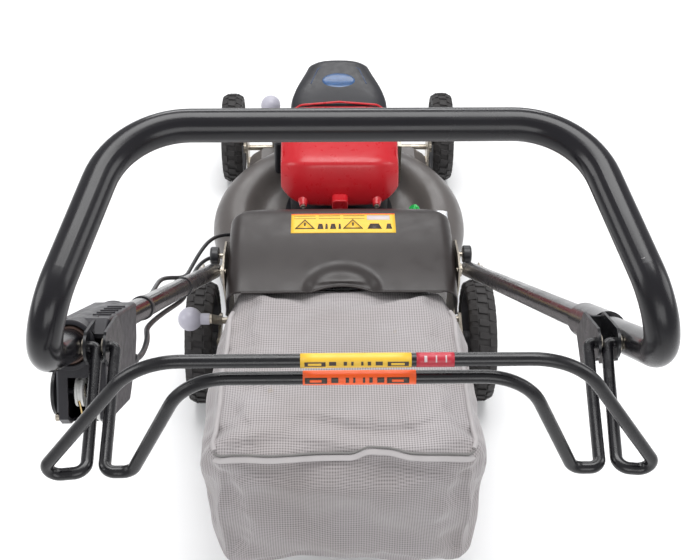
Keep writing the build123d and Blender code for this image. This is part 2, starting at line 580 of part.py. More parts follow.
def add_engine(nodes):
    y = BLADE_AXIS_Y
    case = cyl_z(0, y, SEAT_HEIGHT, SEAT_HEIGHT + 16, FLANGE_RADIUS)
    case += cyl_z(0, y, SEAT_HEIGHT + 16, COWL_BOTTOM - 4, FLANGE_RADIUS - 10)
    case += box_between(-62, 62, y + 60, y + 104, SEAT_HEIGHT + 14, COWL_BOTTOM - 6)
    case -= cyl_z(0, y, SEAT_HEIGHT - 1, SEAT_HEIGHT + 62, CRANKSHAFT_RADIUS + RUN_FIT)
    nodes["engine_crankcase"] = case
    block = box_between(-40, 40, y + 104, y + 186, SEAT_HEIGHT + 30, COWL_BOTTOM - 12)
    for index in range(8):
        fin_y = y + 108 + 9 * index
        block += box_between(-54, 54, fin_y, fin_y + 3, CREST_HEIGHT + 4, COWL_BOTTOM - 6)
    nodes["engine_cylinder"] = block
    plug = cyl_between((0, y + 186, 214), (0, y + 206, 214), 8) + cyl_between((0, y + 206, 214), (0, y + 222, 214), 12)
    nodes["spark_plug_boot"] = plug
    silencer = box_between(70, 116, y + 74, y + 160, 190, 262)
    nodes["muffler"] = fillet(silencer.edges(), 10)
    guard = box_between(64, 122, y + 66, y + 168, 182, 270) - box_between(62, 119, y + 69, y + 165, 180, 267)
    for index in range(5):
        slot_y = y + 76 + 17 * index
        guard -= box_between(116, 125, slot_y, slot_y + 8, 196, 252)
    nodes["muffler_guard"] = guard - nodes["engine_crankcase"] - nodes["muffler"]
    intake = box_between(-126, -78, y + 70, y + 150, 196, 276)
    nodes["air_filter_cover"] = fillet(intake.edges(), 8)
    nodes["carburettor"] = cyl_x(-78, -56, y + 118, 232, 16) + box_between(-76, -60, y + 106, y + 130, 206, 222)
    nodes["carburettor"] -= nodes["engine_crankcase"] + nodes["engine_cylinder"]
    cowl = cowl_body(0.0) - cowl_body(PANEL_WALL)
    for side in (-1, 1):
        ear = cyl_between((side * 66, COWL_REAR_Y - 12, COWL_BOTTOM + 12), (side * 66, COWL_REAR_Y + 6, COWL_BOTTOM + 12), 12)
        cowl += ear - cowl_body(PANEL_WALL)
    spout = box_between(-15, 15, COWL_REAR_Y - 16, COWL_REAR_Y + 6, COWL_BOTTOM, COWL_BOTTOM + 30)
    spout = fillet(spout.edges().filter_by(Axis.Y), 6)
    cowl += spout - cowl_body(PANEL_WALL)
    nodes["engine_cowl"] = max(cowl.solids(), key=lambda s: s.volume)
    screws = [
        cyl_between((side * 66, COWL_REAR_Y - 15, COWL_BOTTOM + 12), (side * 66, COWL_REAR_Y - 12, COWL_BOTTOM + 12), 5)
        for side in (-1, 1)
    ]
    nodes["cowl_screws"] = whole(screws)
    cover = top_cover_body(0.0) - top_cover_body(PANEL_WALL)
    nodes["engine_top_cover"] = max(cover.solids(), key=lambda s: s.volume)
    filler = swept([(100, 262, 178), (122, 258, 178), (142, 256, 190), (142, 256, 198)][:3], [16], 9)
    nodes["oil_filler_neck"] = filler - nodes["engine_crankcase"]
    cap_base = (142, 256, 190)
    cap_top = (151, 255.1, 195.4)
    nodes["oil_cap"] = cyl_between(cap_base, cap_top, 17) - filler


# ================================================================ rear cover
def lid_side(inset):
    """Side outline of the rear cover."""
    with BuildSketch(Plane.YZ) as outline:
        with BuildLine():
            front = Line((LID_HINGE_Y - inset, LID_SKIRT_Z - inset * 2), (LID_HINGE_Y - inset, LID_HINGE_Z + 4))
            nose = TangentArc(front @ 1, (LID_HINGE_Y - 32, LID_CREST_Z - 14 - inset), tangent=(0, 1))
            crown = TangentArc(nose @ 1, (LID_REAR_Y - inset, LID_REAR_Z - inset), tangent=nose % 1)
            rear = Line(crown @ 1, (LID_REAR_Y - inset, LID_SKIRT_Z - inset * 2))
            Line(rear @ 1, front @ 0)
        make_face()
    return outline.sketch


def lid_body(inset):
    half = LID_HALF - inset
    body = extrude(Pos(-half, 0, 0) * lid_side(inset), amount=2 * half, dir=(1, 0, 0))
    edges = [e for e in body.edges() if abs(abs(e.center().X) - half) < 1 and e.center().Z > 330
             and e.center().Y > LID_REAR_Y + 10]
    return fillet(edges, LID_SIDE_R - inset)


def add_lid(nodes):
    lid = lid_body(0.0) - lid_body(LID_WALL)
    lid -= box_between(-CHUTE_HALF - 5, CHUTE_HALF + 5, LID_HINGE_Y - 24, LID_HINGE_Y + 5, LID_SKIRT_Z - 5, LID_HINGE_Z + 9)
    scoop = Pos(0, LID_REAR_Y + 4, 380) * Cylinder(62, 80)
    lid -= scoop & box_between(-80, 80, LID_REAR_Y - 5, LID_REAR_Y + 16, 362, 400)
    for x in (-100.0, 100.0):
        knuckle = cyl_x(x - 25, x + 25, LID_HINGE_Y, LID_HINGE_Z, 7.5)
        strap = box_between(x - 25, x + 25, LID_HINGE_Y - 24, LID_HINGE_Y - 2, LID_HINGE_Z, LID_HINGE_Z + 12)
        strap &= lid_body(0.0)
        lid += knuckle + strap
    lid -= cyl_x(-190, 190, LID_HINGE_Y, LID_HINGE_Z, HINGE_ROD_RADIUS + RUN_FIT)
    nodes["rear_cover"] = max(lid.solids(), key=lambda s: s.volume)
    coil = cyl_x(-18, 18, LID_HINGE_Y, LID_HINGE_Z, 6.5) - cyl_x(-20, 20, LID_HINGE_Y, LID_HINGE_Z, HINGE_ROD_RADIUS + 0.6)
    nodes["cover_spring"] = coil


# ================================================================ grass bag
def bag_body(inset):
    front, rear = BAG_FRONT_Y - inset, BAG_REAR_Y + inset
    side_plan = [
        (front, BAG_TOP_FRONT - inset), (rear + 16, BAG_TOP_REAR - inset), (rear, BAG_TOP_REAR - 20),
        (rear, BAG_BOTTOM + 30), (rear + 30, BAG_BOTTOM + inset), (front - 30, BAG_BOTTOM + inset + 14),
        (front, NECK_BOTTOM - 12 + inset),
    ]
    half = BAG_HALF - inset
    body = yz_block(side_plan, -half, half)
    sides = [e for e in body.edges() if abs(abs(e.center().X) - half) < 1 and e.center().Z > 120]
    body = fillet(sides, 20 - inset)
    neck_half = NECK_HALF - inset
    neck_end = CHEEK_REAR_Y - CHUTE_GAP - 2 * BAG_WIRE
    return body + box_between(-neck_half, neck_half, BAG_FRONT_Y - 20, neck_end, NECK_BOTTOM + inset, NECK_TOP - inset)


def add_bag(nodes):
    bag = bag_body(0.0) - bag_body(BAG_WALL)
    neck_end = CHEEK_REAR_Y - CHUTE_GAP - 2 * BAG_WIRE
    mouth = NECK_HALF - BAG_WALL
    bag -= box_between(-mouth, mouth, neck_end - 40, neck_end + 1, NECK_BOTTOM + BAG_WALL, NECK_TOP - BAG_WALL)
    nodes["bag_fabric"] = max(bag.solids(), key=lambda s: s.volume)
    y = neck_end + BAG_WIRE
    half, low, high = NECK_HALF - BAG_WIRE, NECK_BOTTOM + BAG_WIRE, NECK_TOP - BAG_WIRE
    loop = [(0, y, low), (half, y, low), (half, y, high), (-half, y, high), (-half, y, low), (0.5, y, low)]
    nodes["bag_frame"] = swept(loop, [10, 10, 10, 10], BAG_WIRE)


# ================================================================ handle
def add_handle(nodes):
    _, _, length, _ = leg_frame()
    joint = length - SLEEVE_END - SLEEVE_LENGTH / 2
    sleeves = []
    for side, name in ((-1.0, "left"), (1.0, "right")):
        tube = cyl_between(leg_point(-LEG_TAIL, side), leg_point(joint, side), TUBE_RADIUS)
        tube -= cyl_between(leg_point(-LEG_TAIL - 5, side), leg_point(joint + 5, side), TUBE_RADIUS - TUBE_WALL)
        tube -= cyl_x(side * (PIVOT_X - 20), side * (PIVOT_X + 20), PIVOT_Y, PIVOT_Z, BOLT_RADIUS + RUN_FIT)
        nodes[f"{name}_lower_tube"] = tube
        sleeve = cyl_between(leg_point(joint - SLEEVE_LENGTH / 2, side), leg_point(joint + SLEEVE_LENGTH / 2, side),
                             SLEEVE_RADIUS)
        sleeve -= cyl_between(leg_point(joint - SLEEVE_LENGTH, side), leg_point(joint, side), TUBE_RADIUS)
        sleeve -= cyl_between(leg_point(joint, side), leg_point(joint + SLEEVE_LENGTH, side), LOOP_RADIUS)
        sleeves.append(sleeve)
    nodes["handle_sleeves"] = whole(sleeves)
    bend = leg_point(length + LOOP_BEND_PAST)
    half = [leg_point(joint), bend, (LOOP_TOP_X, LOOP_TOP_Y, LOOP_TOP_Z)]
    radii = [LOOP_BEND_R, LOOP_TOP_R, LOOP_TOP_R, LOOP_BEND_R]
    loop = swept(mirrored(half), radii, LOOP_RADIUS)
    nodes["handle_loop"] = loop - swept(mirrored(half), radii, LOOP_RADIUS - TUBE_WALL)


def bail_path(pivot, stub, arms, feet, corners, bar, foot_drop):
    """Route of a bail from its left pivot stub to its right one; pairs are left and right."""
    axis = (BAIL_AXIS_Y, BAIL_AXIS_Z)
    elbow = (BAIL_AXIS_Y - ELBOW_BACK, BAIL_AXIS_Z + ELBOW_RISE)
    halves = []
    for side, arm, foot, corner in zip((-1, 1), arms, feet, corners):
        halves.append([
            (side * (pivot + stub), *axis), (side * pivot, *axis), (arm, *elbow),
            (foot, elbow[0], elbow[1] - foot_drop), (corner, *bar),
        ])
    return halves[0] + halves[1][::-1]


def add_bails(nodes):
    drive = bail_path(DRIVE_PIVOT_X, 11.0, DRIVE_ARM_X, DRIVE_ELBOW_X, DRIVE_CORNER_X, DRIVE_BAR, 5.0)
    blade = bail_path(BLADE_PIVOT_X, 10.5, BLADE_ARM_X, BLADE_FOOT_X, BLADE_CORNER_X, BLADE_BAR, 0.0)
    drive_radii = [BAIL_BEND, ELBOW_R, ELBOW_R, DRIVE_CORNER_R]
    blade_radii = [BAIL_BEND, ELBOW_R, ELBOW_R + 3, BLADE_CORNER_R]
    nodes["drive_bail"] = swept(drive, drive_radii + drive_radii[::-1], ROD_RADIUS)
    nodes["blade_bail"] = swept(blade, blade_radii + blade_radii[::-1], ROD_RADIUS)


def bail_bracket(side):
    """Pressed bracket on the inside of the loop leg with one ear for each bail."""
    y, z = BAIL_AXIS_Y, BAIL_AXIS_Z
    drive_ear = DRIVE_PIVOT_X + 7.5
    blade_ear = BLADE_PIVOT_X + 7.0
    bracket = None
    for x in (blade_ear, drive_ear):
        outline = [(y - 10, z + 8), (y + 4, z + 14), (y + 52, z - 14), (y + 62, z - 52), (y + 30, z - 60), (y - 10, z - 12)]
        ear = yz_block(outline, x, x + EAR_PLATE) + cyl_x(x, x + EAR_PLATE, y, z, EAR_RADIUS)
        ear -= cyl_x(x - 1, x + EAR_PLATE + 1, y, z, ROD_RADIUS + RUN_FIT)
        bracket = ear if bracket is None else bracket + ear
    back = [(y + 42, z - 50), (y + 52, z - 20), (y + 54.5, z - 21), (y + 44.5, z - 51)]
    bracket += yz_block(back, blade_ear, drive_ear + EAR_PLATE)
    return bracket if side > 0 else flipped(bracket)


def add_brackets(nodes):
    _, _, length, _ = leg_frame()
    brackets = []
    for side in (-1, 1):
        leg = cyl_between(leg_point(length - 200, side), leg_point(length + 60, side), LOOP_RADIUS)
        brackets.append(bail_bracket(side) - leg - nodes["handle_sleeves"])
    nodes["bail_brackets"] = whole(brackets)


# ================================================================ control box
def box_outline(inset):
    _, _, length, _ = leg_frame()
    start, stop = length - BOX_START + inset, length - BOX_STOP - inset
    above, below = BOX_ABOVE - inset, -BOX_BELOW + inset
    spots = [
        (start, above), (stop - 24, above), (stop, above - 16), (stop, below + 6), (stop - 12, below),
        (start + 46, below), (start + 10, below + 34), (start, below + 56),
    ]
    return [leg_point(distance, 1.0, offset)[1:] for distance, offset in spots]


def add_control_box(nodes):
    _, _, length, _ = leg_frame()
    sleeve_from, sleeve_to = length - BOX_START - 10, length + 4
    shell = yz_block(box_outline(0.0), BOX_OUTER_X, BOX_INNER_X)
    shell = fillet([e for e in shell.edges() if abs(e.center().X - BOX_INNER_X) < 1], 4)
    shell += cyl_between(leg_point(length - BOX_START, -1), leg_point(length - BOX_STOP, -1), SLEEVE_RADIUS + 4)
    hollow = yz_block(box_outline(BOX_WALL), BOX_OUTER_X + BOX_WALL, BOX_INNER_X - BOX_WALL)
    tunnel = cyl_between(leg_point(sleeve_from, -1), leg_point(sleeve_to, -1), SLEEVE_RADIUS)
    window = box_between(BOX_OUTER_X + 8, BOX_OUTER_X + 36, BAIL_AXIS_Y - 60, BAIL_AXIS_Y + 4, BAIL_AXIS_Z - 78, BAIL_AXIS_Z - 30)
    shell = shell - hollow - tunnel - window
    shell -= nodes["bail_brackets"]
    swing = cyl_x(-DRIVE_PIVOT_X - 8, -BLADE_PIVOT_X + 8, BAIL_AXIS_Y, BAIL_AXIS_Z, 20)
    shell -= swing
    py, pz = leg_point(length - 34, 1.0, -44)[1:]
    shell += cyl_x(BOX_OUTER_X, BOX_OUTER_X + 26, py, pz, 3)
    nodes["control_box"] = max(shell.solids(), key=lambda s: s.volume)
    plate = yz_block(box_outline(6.0), BOX_OUTER_X - 3.0, BOX_OUTER_X)
    plate -= cyl_between(leg_point(sleeve_from, -1), leg_point(sleeve_to, -1), SLEEVE_RADIUS + 4)
    nodes["control_side_plate"] = max(plate.solids(), key=lambda s: s.volume)
    wheel = cyl_x(BOX_OUTER_X + 12, BOX_OUTER_X + 19, py, pz, 14)
    groove = cyl_x(BOX_OUTER_X + 14, BOX_OUTER_X + 17, py, pz, 15) - cyl_x(BOX_OUTER_X + 13, BOX_OUTER_X + 18, py, pz, 12)
    nodes["cable_pulley"] = wheel - groove - cyl_x(BOX_OUTER_X, BOX_OUTER_X + 30, py, pz, 3 + RUN_FIT)


# ================================================================ cables
def add_cables(nodes):
    """Outer cables from the control box, along the left leg and into the deck.

    Each one is in two pieces with a short gap at the fold pivot, where a real one bends.
    """
    _, _, length, _ = leg_frame()
    fold_a = Vector(-PIVOT_X - 29, PIVOT_Y, PIVOT_Z)
    fold_b = Vector(-PIVOT_X - 39, PIVOT_Y, PIVOT_Z)
    along = Vector(0.0, -0.85, 0.53).normalized()
    exit_y, exit_z = leg_point(length - BOX_START, -1, -36)[1:]
    brake = [
        (-222, exit_y, exit_z), (-222, exit_y + 30, exit_z - 40), (-218, exit_y + 88, exit_z - 60),
        leg_point(length - 330, -1, -25), leg_point(length - 470, -1, -19), leg_point(300, -1, -19),
        (-PIVOT_X - 26, -190, 418), fold_a + along * 50, fold_a + along * FOLD_GAP,
    ]
    drive = [
        (-236, exit_y, exit_z + 6), (-240, exit_y + 40, exit_z - 16), (-248, -560, 722),
        (-252, -440, 640), (-256, -320, 550), (-268, -210, 474), fold_b + along * 60, fold_b + along * FOLD_GAP,
    ]
    nodes["brake_cable_upper"] = cable(brake)
    nodes["drive_cable_upper"] = cable(drive)
    lower_a = [fold_a - along * FOLD_GAP, fold_a - along * 45, (-228, 30, 290), (-208, 80, 246), (-196, 128, 196), (-192, 150, 172)]
    lower_b = [fold_b - along * FOLD_GAP, fold_b - along * 55, (-230, 50, 310), (-206, 104, 280), (-176, 150, 232), (-160, 176, 180)]
    nodes["brake_cable_lower"] = cable(lower_a) - nodes["deck_shell"]
    nodes["drive_cable_lower"] = cable(lower_b) - nodes["deck_shell"]
    clips = []
    for distance in (300.0, length - 330.0):
        clip = cyl_between(leg_point(distance - 5, -1), leg_point(distance + 5, -1), TUBE_RADIUS + 1.4)
        clip -= cyl_between(leg_point(distance - 6, -1), leg_point(distance + 6, -1), TUBE_RADIUS)
        clips.append(clip)
    nodes["cable_ties"] = whole(clips)


def cable(points):
    """Cable along a route, each bend as wide as its two runs allow."""
    vectors = [Vector(*p) for p in points]
    radii = []
    for before, here, after in zip(vectors, vectors[1:], vectors[2:]):
        turn = math.radians((here - before).get_angle(after - here))
        run = min((here - before).length, (after - here).length)
        radii.append(0.45 * run / math.tan(turn / 2))
    return swept(points, radii, CABLE_RADIUS)


# ================================================================ assembly
def build():
    """All nodes in the working frame."""
    nodes = {}
    add_wheels(nodes)
    add_cranks(nodes)
    add_deck(nodes)
    add_cutting(nodes)
    add_engine(nodes)
    add_lid(nodes)
    add_bag(nodes)
    add_handle(nodes)
    add_bails(nodes)
    add_brackets(nodes)
    add_control_box(nodes)
    add_cables(nodes)
    return nodes


def footprint_shift(nodes):
    """Move that puts the middle of the footprint at the origin."""
    box = Compound(children=[solid for shape in nodes.values() for solid in shape.solids()]).bounding_box()
    return (-(box.min.X + box.max.X) / 2, -(box.min.Y + box.max.Y) / 2, -box.min.Z)


def main():
    nodes = build()
    shift = footprint_shift(nodes)
    os.makedirs("parts", exist_ok=True)
    for name, shape in nodes.items():
        solids = [solid.moved(Location(shift)) for solid in shape.solids()]
        export_step(solids[0] if len(solids) == 1 else Compound(children=solids), f"parts/{name}.step")
    print("nodes", len(nodes), "shift", [round(v, 3) for v in shift])


if __name__ == "__main__":
    main()
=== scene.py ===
"""Looks of the lawn mower: materials, fabric, treads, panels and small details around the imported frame."""
import json
import math

import bmesh
import bpy
from mathutils import Matrix, Vector, noise
from mathutils.bvhtree import BVHTree


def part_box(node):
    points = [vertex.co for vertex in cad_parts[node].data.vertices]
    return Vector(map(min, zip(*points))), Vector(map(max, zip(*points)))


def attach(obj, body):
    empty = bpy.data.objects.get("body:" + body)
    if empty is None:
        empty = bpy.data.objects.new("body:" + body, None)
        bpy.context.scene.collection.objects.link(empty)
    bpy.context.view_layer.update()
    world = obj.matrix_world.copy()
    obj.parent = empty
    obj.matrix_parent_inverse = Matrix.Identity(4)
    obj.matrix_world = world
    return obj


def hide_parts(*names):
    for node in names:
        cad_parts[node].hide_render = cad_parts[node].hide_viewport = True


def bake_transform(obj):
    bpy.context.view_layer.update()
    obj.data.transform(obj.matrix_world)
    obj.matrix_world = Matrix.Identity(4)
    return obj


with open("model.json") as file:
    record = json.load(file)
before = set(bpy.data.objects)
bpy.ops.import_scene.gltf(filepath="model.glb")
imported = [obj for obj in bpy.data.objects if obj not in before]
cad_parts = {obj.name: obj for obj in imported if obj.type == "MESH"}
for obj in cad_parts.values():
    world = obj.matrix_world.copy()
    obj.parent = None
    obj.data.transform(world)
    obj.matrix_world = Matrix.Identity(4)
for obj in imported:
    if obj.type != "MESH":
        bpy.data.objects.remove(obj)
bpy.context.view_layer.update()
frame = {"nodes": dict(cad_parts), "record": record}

# ---------------------------------------------------------------- places read from the frame
MM = 0.001
REAR_LOW, REAR_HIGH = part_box("rear_left_tyre")
AXLE_Y = (REAR_LOW.y + REAR_HIGH.y) / 2


# ---------------------------------------------------------------- sizes in millimetres from the rear axle line
REAR_TYRE_RADIUS, REAR_TYRE_WIDTH, REAR_BLOCKS = 110.0, 47.0, 30
FRONT_TYRE_RADIUS, FRONT_TYRE_WIDTH, FRONT_BLOCKS = 96.0, 43.0, 26
TOP_REAR, TOP_FRONT, TOP_CROWN = 331, 499, 391
COVER_HALF, SHOULDER, COVER_REAR, SIDE_LOW, SIDE_TOP = 186, 24, -126, 301, 311
ARCH_HALF, ARCH_DEPTH = 62, 22
DRIVE_BAR, BLADE_BAR = ("drive_bail", -900.0, 1045.0), ("blade_bail", -900.4, 1027.0)
BAIL_AXIS_Y, BAIL_AXIS_Z, FOLD_Y, FOLD_Z = -766, 918, -60, 341
LEG_FOLD_X, LEG_SPREAD = 210, 43.0
# ---------------------------------------------------------------- sizes and settings in metres
WEAVE_PITCH = 0.0038
CABLE_RADIUS = 0.0032
BAG_VOXEL = 0.0058
CLOTH_PRESSURE, CLOTH_FRAMES, CLOTH_SHIFT_LIMIT = 4.0, 20, 0.009


def at(x, y, z):
    """Point given in millimetres from the rear axle line, as a point of the frame."""
    return Vector((x * MM, y * MM + AXLE_Y, z * MM))


# ================================================================ materials
def new_material(name):
    mat = bpy.data.materials.new(name)
    mat.use_nodes = True
    tree = mat.node_tree
    shader = tree.nodes["Principled BSDF"]
    return mat, tree, shader


def node(tree, kind, **inputs):
    """Adds a shader node and sets the named inputs."""
    made = tree.nodes.new(kind)
    for key, value in inputs.items():
        made.inputs[key.replace("_", " ")].default_value = value
    return made


def noise_field(tree, scale, detail=4.0, roughness=0.55, stretch=(1, 1, 1), distortion=0.0):
    """Noise in object space, stretched along an axis where asked."""
    coords = tree.nodes.new("ShaderNodeTexCoord")
    mapping = tree.nodes.new("ShaderNodeMapping")
    mapping.inputs["Scale"].default_value = stretch
    tree.links.new(coords.outputs["Object"], mapping.inputs["Vector"])
    field = node(tree, "ShaderNodeTexNoise", Scale=scale, Detail=detail, Roughness=roughness, Distortion=distortion)
    tree.links.new(mapping.outputs["Vector"], field.inputs["Vector"])
    return field.outputs["Fac"]


def ramp(tree, source, stops):
    """Colour ramp from (position, colour) stops."""
    made = tree.nodes.new("ShaderNodeValToRGB")
    elements = made.color_ramp.elements
    while len(elements) < len(stops):
        elements.new(0.5)
    for element, (position, colour) in zip(elements, stops):
        element.position = position
        element.color = (*colour, 1.0)
    tree.links.new(source, made.inputs["Fac"])
    return made.outputs["Color"]


def remap(tree, source, low, high, new_low, new_high):
    made = node(tree, "ShaderNodeMapRange", From_Min=low, From_Max=high, To_Min=new_low, To_Max=new_high)
    tree.links.new(source, made.inputs["Value"])
    return made.outputs["Result"]


def bump(tree, shader, height, strength, distance):
    made = node(tree, "ShaderNodeBump", Strength=strength, Distance=distance)
    tree.links.new(height, made.inputs["Height"])
    tree.links.new(made.outputs["Normal"], shader.inputs["Normal"])
    return made


def shade(tint, factor):
    return tuple(min(1.0, channel * factor) for channel in tint)


def plain(name, tint, rough, metallic=0.0, variation=0.12, scale=30.0, grain=0.0, grain_scale=900.0,
          coat=0.0, coat_rough=0.1, specular=0.5, rough_spread=0.08, stretch=(1, 1, 1)):
    """Painted, plated or moulded surface with mottled colour, uneven gloss and a fine grain."""
    mat, tree, shader = new_material(name)
    field = noise_field(tree, scale, stretch=stretch)
    colour = ramp(tree, field, [(0.25, shade(tint, 1 - variation)), (0.75, shade(tint, 1 + variation))])
    tree.links.new(colour, shader.inputs["Base Color"])
    wear = noise_field(tree, scale * 3.1, detail=6, stretch=stretch)
    uneven = remap(tree, wear, 0.3, 0.7, max(0.02, rough - rough_spread), min(1.0, rough + rough_spread))
    tree.links.new(uneven, shader.inputs["Roughness"])
    shader.inputs["Metallic"].default_value = metallic
    shader.inputs["Specular IOR Level"].default_value = specular
    shader.inputs["Coat Weight"].default_value = coat
    shader.inputs["Coat Roughness"].default_value = coat_rough
    if grain:
        bump(tree, shader, noise_field(tree, grain_scale, detail=2), grain, 0.0004)
    return mat


def paint_black(name, tint, rough):
    """Gloss black tube paint with faint orange peel, dust and small rubbed marks."""
    mat, tree, shader = new_material(name)
    marks = noise_field(tree, 55.0, detail=8, roughness=0.7)
    rubbed = (0.30, 0.29, 0.29)
    colour = ramp(tree, marks, [(0.0, tint), (0.715, shade(tint, 1.35)), (0.735, rubbed), (0.80, rubbed)])
    tree.links.new(colour, shader.inputs["Base Color"])
    dust = noise_field(tree, 14.0, detail=5)
    tree.links.new(remap(tree, dust, 0.3, 0.7, rough - 0.05, rough + 0.10), shader.inputs["Roughness"])
    shader.inputs["Specular IOR Level"].default_value = 0.30
    shader.inputs["Coat Weight"].default_value = 0.12
    shader.inputs["Coat Roughness"].default_value = 0.16
    bump(tree, shader, noise_field(tree, 420.0, detail=1), 0.05, 0.0003)
    return mat


def waffle_cloth(name, tint):
    """Coarse grid weave in the plane of each face, with broad soiling and small stains."""
    mat, tree, shader = new_material(name)
    coords = tree.nodes.new("ShaderNodeTexCoord")
    place, facing = tree.nodes.new("ShaderNodeSeparateXYZ"), tree.nodes.new("ShaderNodeSeparateXYZ")
    tree.links.new(coords.outputs["Object"], place.inputs[0])
    tree.links.new(coords.outputs["Normal"], facing.inputs[0])

    def maths(kind, first, second=None):
        made = tree.nodes.new("ShaderNodeMath")
        made.operation = kind
        for socket, value in zip(made.inputs, (first, second)):
            if isinstance(value, (int, float)):
                socket.default_value = value
            elif value is not None:
                tree.links.new(value, socket)
        return made.outputs[0]

    total = None
    for axis in "XYZ":
        wave = maths("COSINE", maths("MULTIPLY", place.outputs[axis], 2 * math.pi / WEAVE_PITCH))
        ridge = maths("POWER", maths("ABSOLUTE", maths("MULTIPLY", maths("ADD", wave, 1.0), 0.5)), 0.7)
        share = maths("SUBTRACT", 1.0, maths("MULTIPLY", facing.outputs[axis], facing.outputs[axis]))
        part = maths("MULTIPLY", ridge, share)
        total = part if total is None else maths("ADD", total, part)
    weave = remap(tree, total, 0.2, 1.9, 0.0, 1.0)
    tone = ramp(tree, weave, [(0.0, shade(tint, 0.42)), (0.45, shade(tint, 0.86)), (1.0, shade(tint, 1.16))])
    soil = ramp(tree, noise_field(tree, 7.0, detail=6), [(0.30, (0.86, 0.84, 0.82)), (0.62, (1.0, 1.0, 1.0))])
    stain = ramp(tree, noise_field(tree, 26.0, detail=3), [(0.70, (1.0, 1.0, 1.0)), (0.80, (0.93, 0.86, 0.70))])
    mixed = tone
    for layer in (soil, stain):
        mix = tree.nodes.new("ShaderNodeMix")
        mix.data_type, mix.blend_type = "RGBA", "MULTIPLY"
        mix.inputs[0].default_value = 1.0
        tree.links.new(mixed, mix.inputs[6])
        tree.links.new(layer, mix.inputs[7])
        mixed = mix.outputs[2]
    tree.links.new(mixed, shader.inputs["Base Color"])
    shader.inputs["Roughness"].default_value = 0.82
    shader.inputs["Sheen Weight"].default_value = 0.25
    shader.inputs["Specular IOR Level"].default_value = 0.3
    bump(tree, shader, weave, 0.55, 0.0006)
    return mat


def painted(*values, **options):
    """Recipe for a plain surface, used once its name is known."""
    return lambda name: plain(name, *values, **options)


MATERIALS = {
    "handle_paint": lambda n: paint_black(n, (0.0055, 0.0050, 0.0065), 0.22),
    "bail_coating": painted((0.0055, 0.0052, 0.0065), 0.27, coat=0.1, coat_rough=0.2, grain=0.06, specular=0.4),
    "bracket_black": painted((0.008, 0.008, 0.010), 0.34, grain=0.12, specular=0.4),
    "deck_paint": painted((0.080, 0.071, 0.067), 0.38, variation=0.10, scale=9, grain=0.14, grain_scale=650,
                                  coat=0.12, coat_rough=0.35),
    "cover_plastic": painted((0.020, 0.0155, 0.0145), 0.40, variation=0.10, scale=12, grain=0.10, specular=0.42),
    "chute_plastic": painted((0.022, 0.022, 0.024), 0.55, grain=0.2),
    "box_plastic": painted((0.015, 0.014, 0.018), 0.42, grain=0.20, grain_scale=1300, specular=0.4),
    "box_plate": painted((0.085, 0.085, 0.095), 0.42, grain=0.1),
    "cowl_red": painted((0.42, 0.008, 0.014), 0.32, variation=0.03, coat=0.2, coat_rough=0.15, grain=0.03,
                        specular=0.35),
    "engine_black": painted((0.009, 0.009, 0.012), 0.36, grain=0.08, specular=0.38),
    "engine_alloy": painted((0.36, 0.36, 0.37), 0.5, metallic=0.7, grain=0.5, grain_scale=260),
    "zinc": painted((0.40, 0.36, 0.30), 0.34, metallic=0.95, variation=0.22, scale=60),
    "steel": painted((0.46, 0.46, 0.47), 0.32, metallic=1.0, variation=0.12, stretch=(1, 8, 8)),
    "blade_steel": painted((0.14, 0.14, 0.145), 0.45, metallic=0.9, variation=0.3),
    "tyre": painted((0.022, 0.020, 0.020), 0.72, variation=0.25, grain=0.25),
    "rim": painted((0.055, 0.055, 0.060), 0.5, grain=0.15),
    "knob": painted((0.40, 0.39, 0.45), 0.36, variation=0.05, scale=22, grain=0.05),
    "black_knob": painted((0.013, 0.013, 0.015), 0.36, grain=0.12),
    "cap_green": painted((0.020, 0.42, 0.085), 0.32, variation=0.08, grain=0.06),
    "cable": painted((0.014, 0.014, 0.016), 0.42, grain=0.08),
    "bag": lambda n: waffle_cloth(n, (0.335, 0.312, 0.315)),
    "plate_silver": painted((0.60, 0.61, 0.63), 0.35, metallic=0.9, variation=0.1),
    "pulley_white": painted((0.78, 0.78, 0.76), 0.36, variation=0.04, grain=0.05),
    "case_alloy": painted((0.20, 0.20, 0.21), 0.5, metallic=0.6, grain=0.5, grain_scale=300),
}
EXTRA_LOOKS = {
    "nipple": painted((0.42, 0.42, 0.45), 0.28, variation=0.05, coat=0.3),
    "emblem": painted((0.008, 0.055, 0.16), 0.34, variation=0.45, scale=70, coat=0.3, stretch=(1, 4, 1)),
    "emblem_line": painted((0.02, 0.045, 0.11), 0.4, variation=0.1),
    "label_yellow": painted((0.68, 0.42, 0.028), 0.45, variation=0.05, scale=60, grain=0.03),
    "label_orange": painted((0.84, 0.105, 0.012), 0.45, variation=0.05, scale=60, grain=0.03),
    "label_red": painted((0.38, 0.012, 0.028), 0.42, variation=0.05, scale=60, grain=0.03),
    "label_pale": painted((0.46, 0.40, 0.40), 0.45, variation=0.06, scale=60),
    "label_ink": painted((0.035, 0.022, 0.015), 0.5, variation=0.2, scale=90),
    "piping": painted((0.36, 0.34, 0.34), 0.75, variation=0.06, grain=0.5, grain_scale=1400),
    "seam": painted((0.16, 0.155, 0.15), 0.85, variation=0.1, grain=0.4),
    "tube_brown": painted((0.13, 0.085, 0.07), 0.35, metallic=0.4, variation=0.2),
    "brass": painted((0.62, 0.45, 0.20), 0.3, metallic=1.0, variation=0.15, stretch=(1, 1, 30)),
}
made_materials = {name: build(name + "_look") for name, build in {**MATERIALS, **EXTRA_LOOKS}.items()}
slot_of = {row["node"]: row["material_slot"] for row in frame["record"]["subparts"]}
for name, obj in frame["nodes"].items():
    obj.data.materials.clear()
    obj.data.materials.append(made_materials[slot_of[name]])


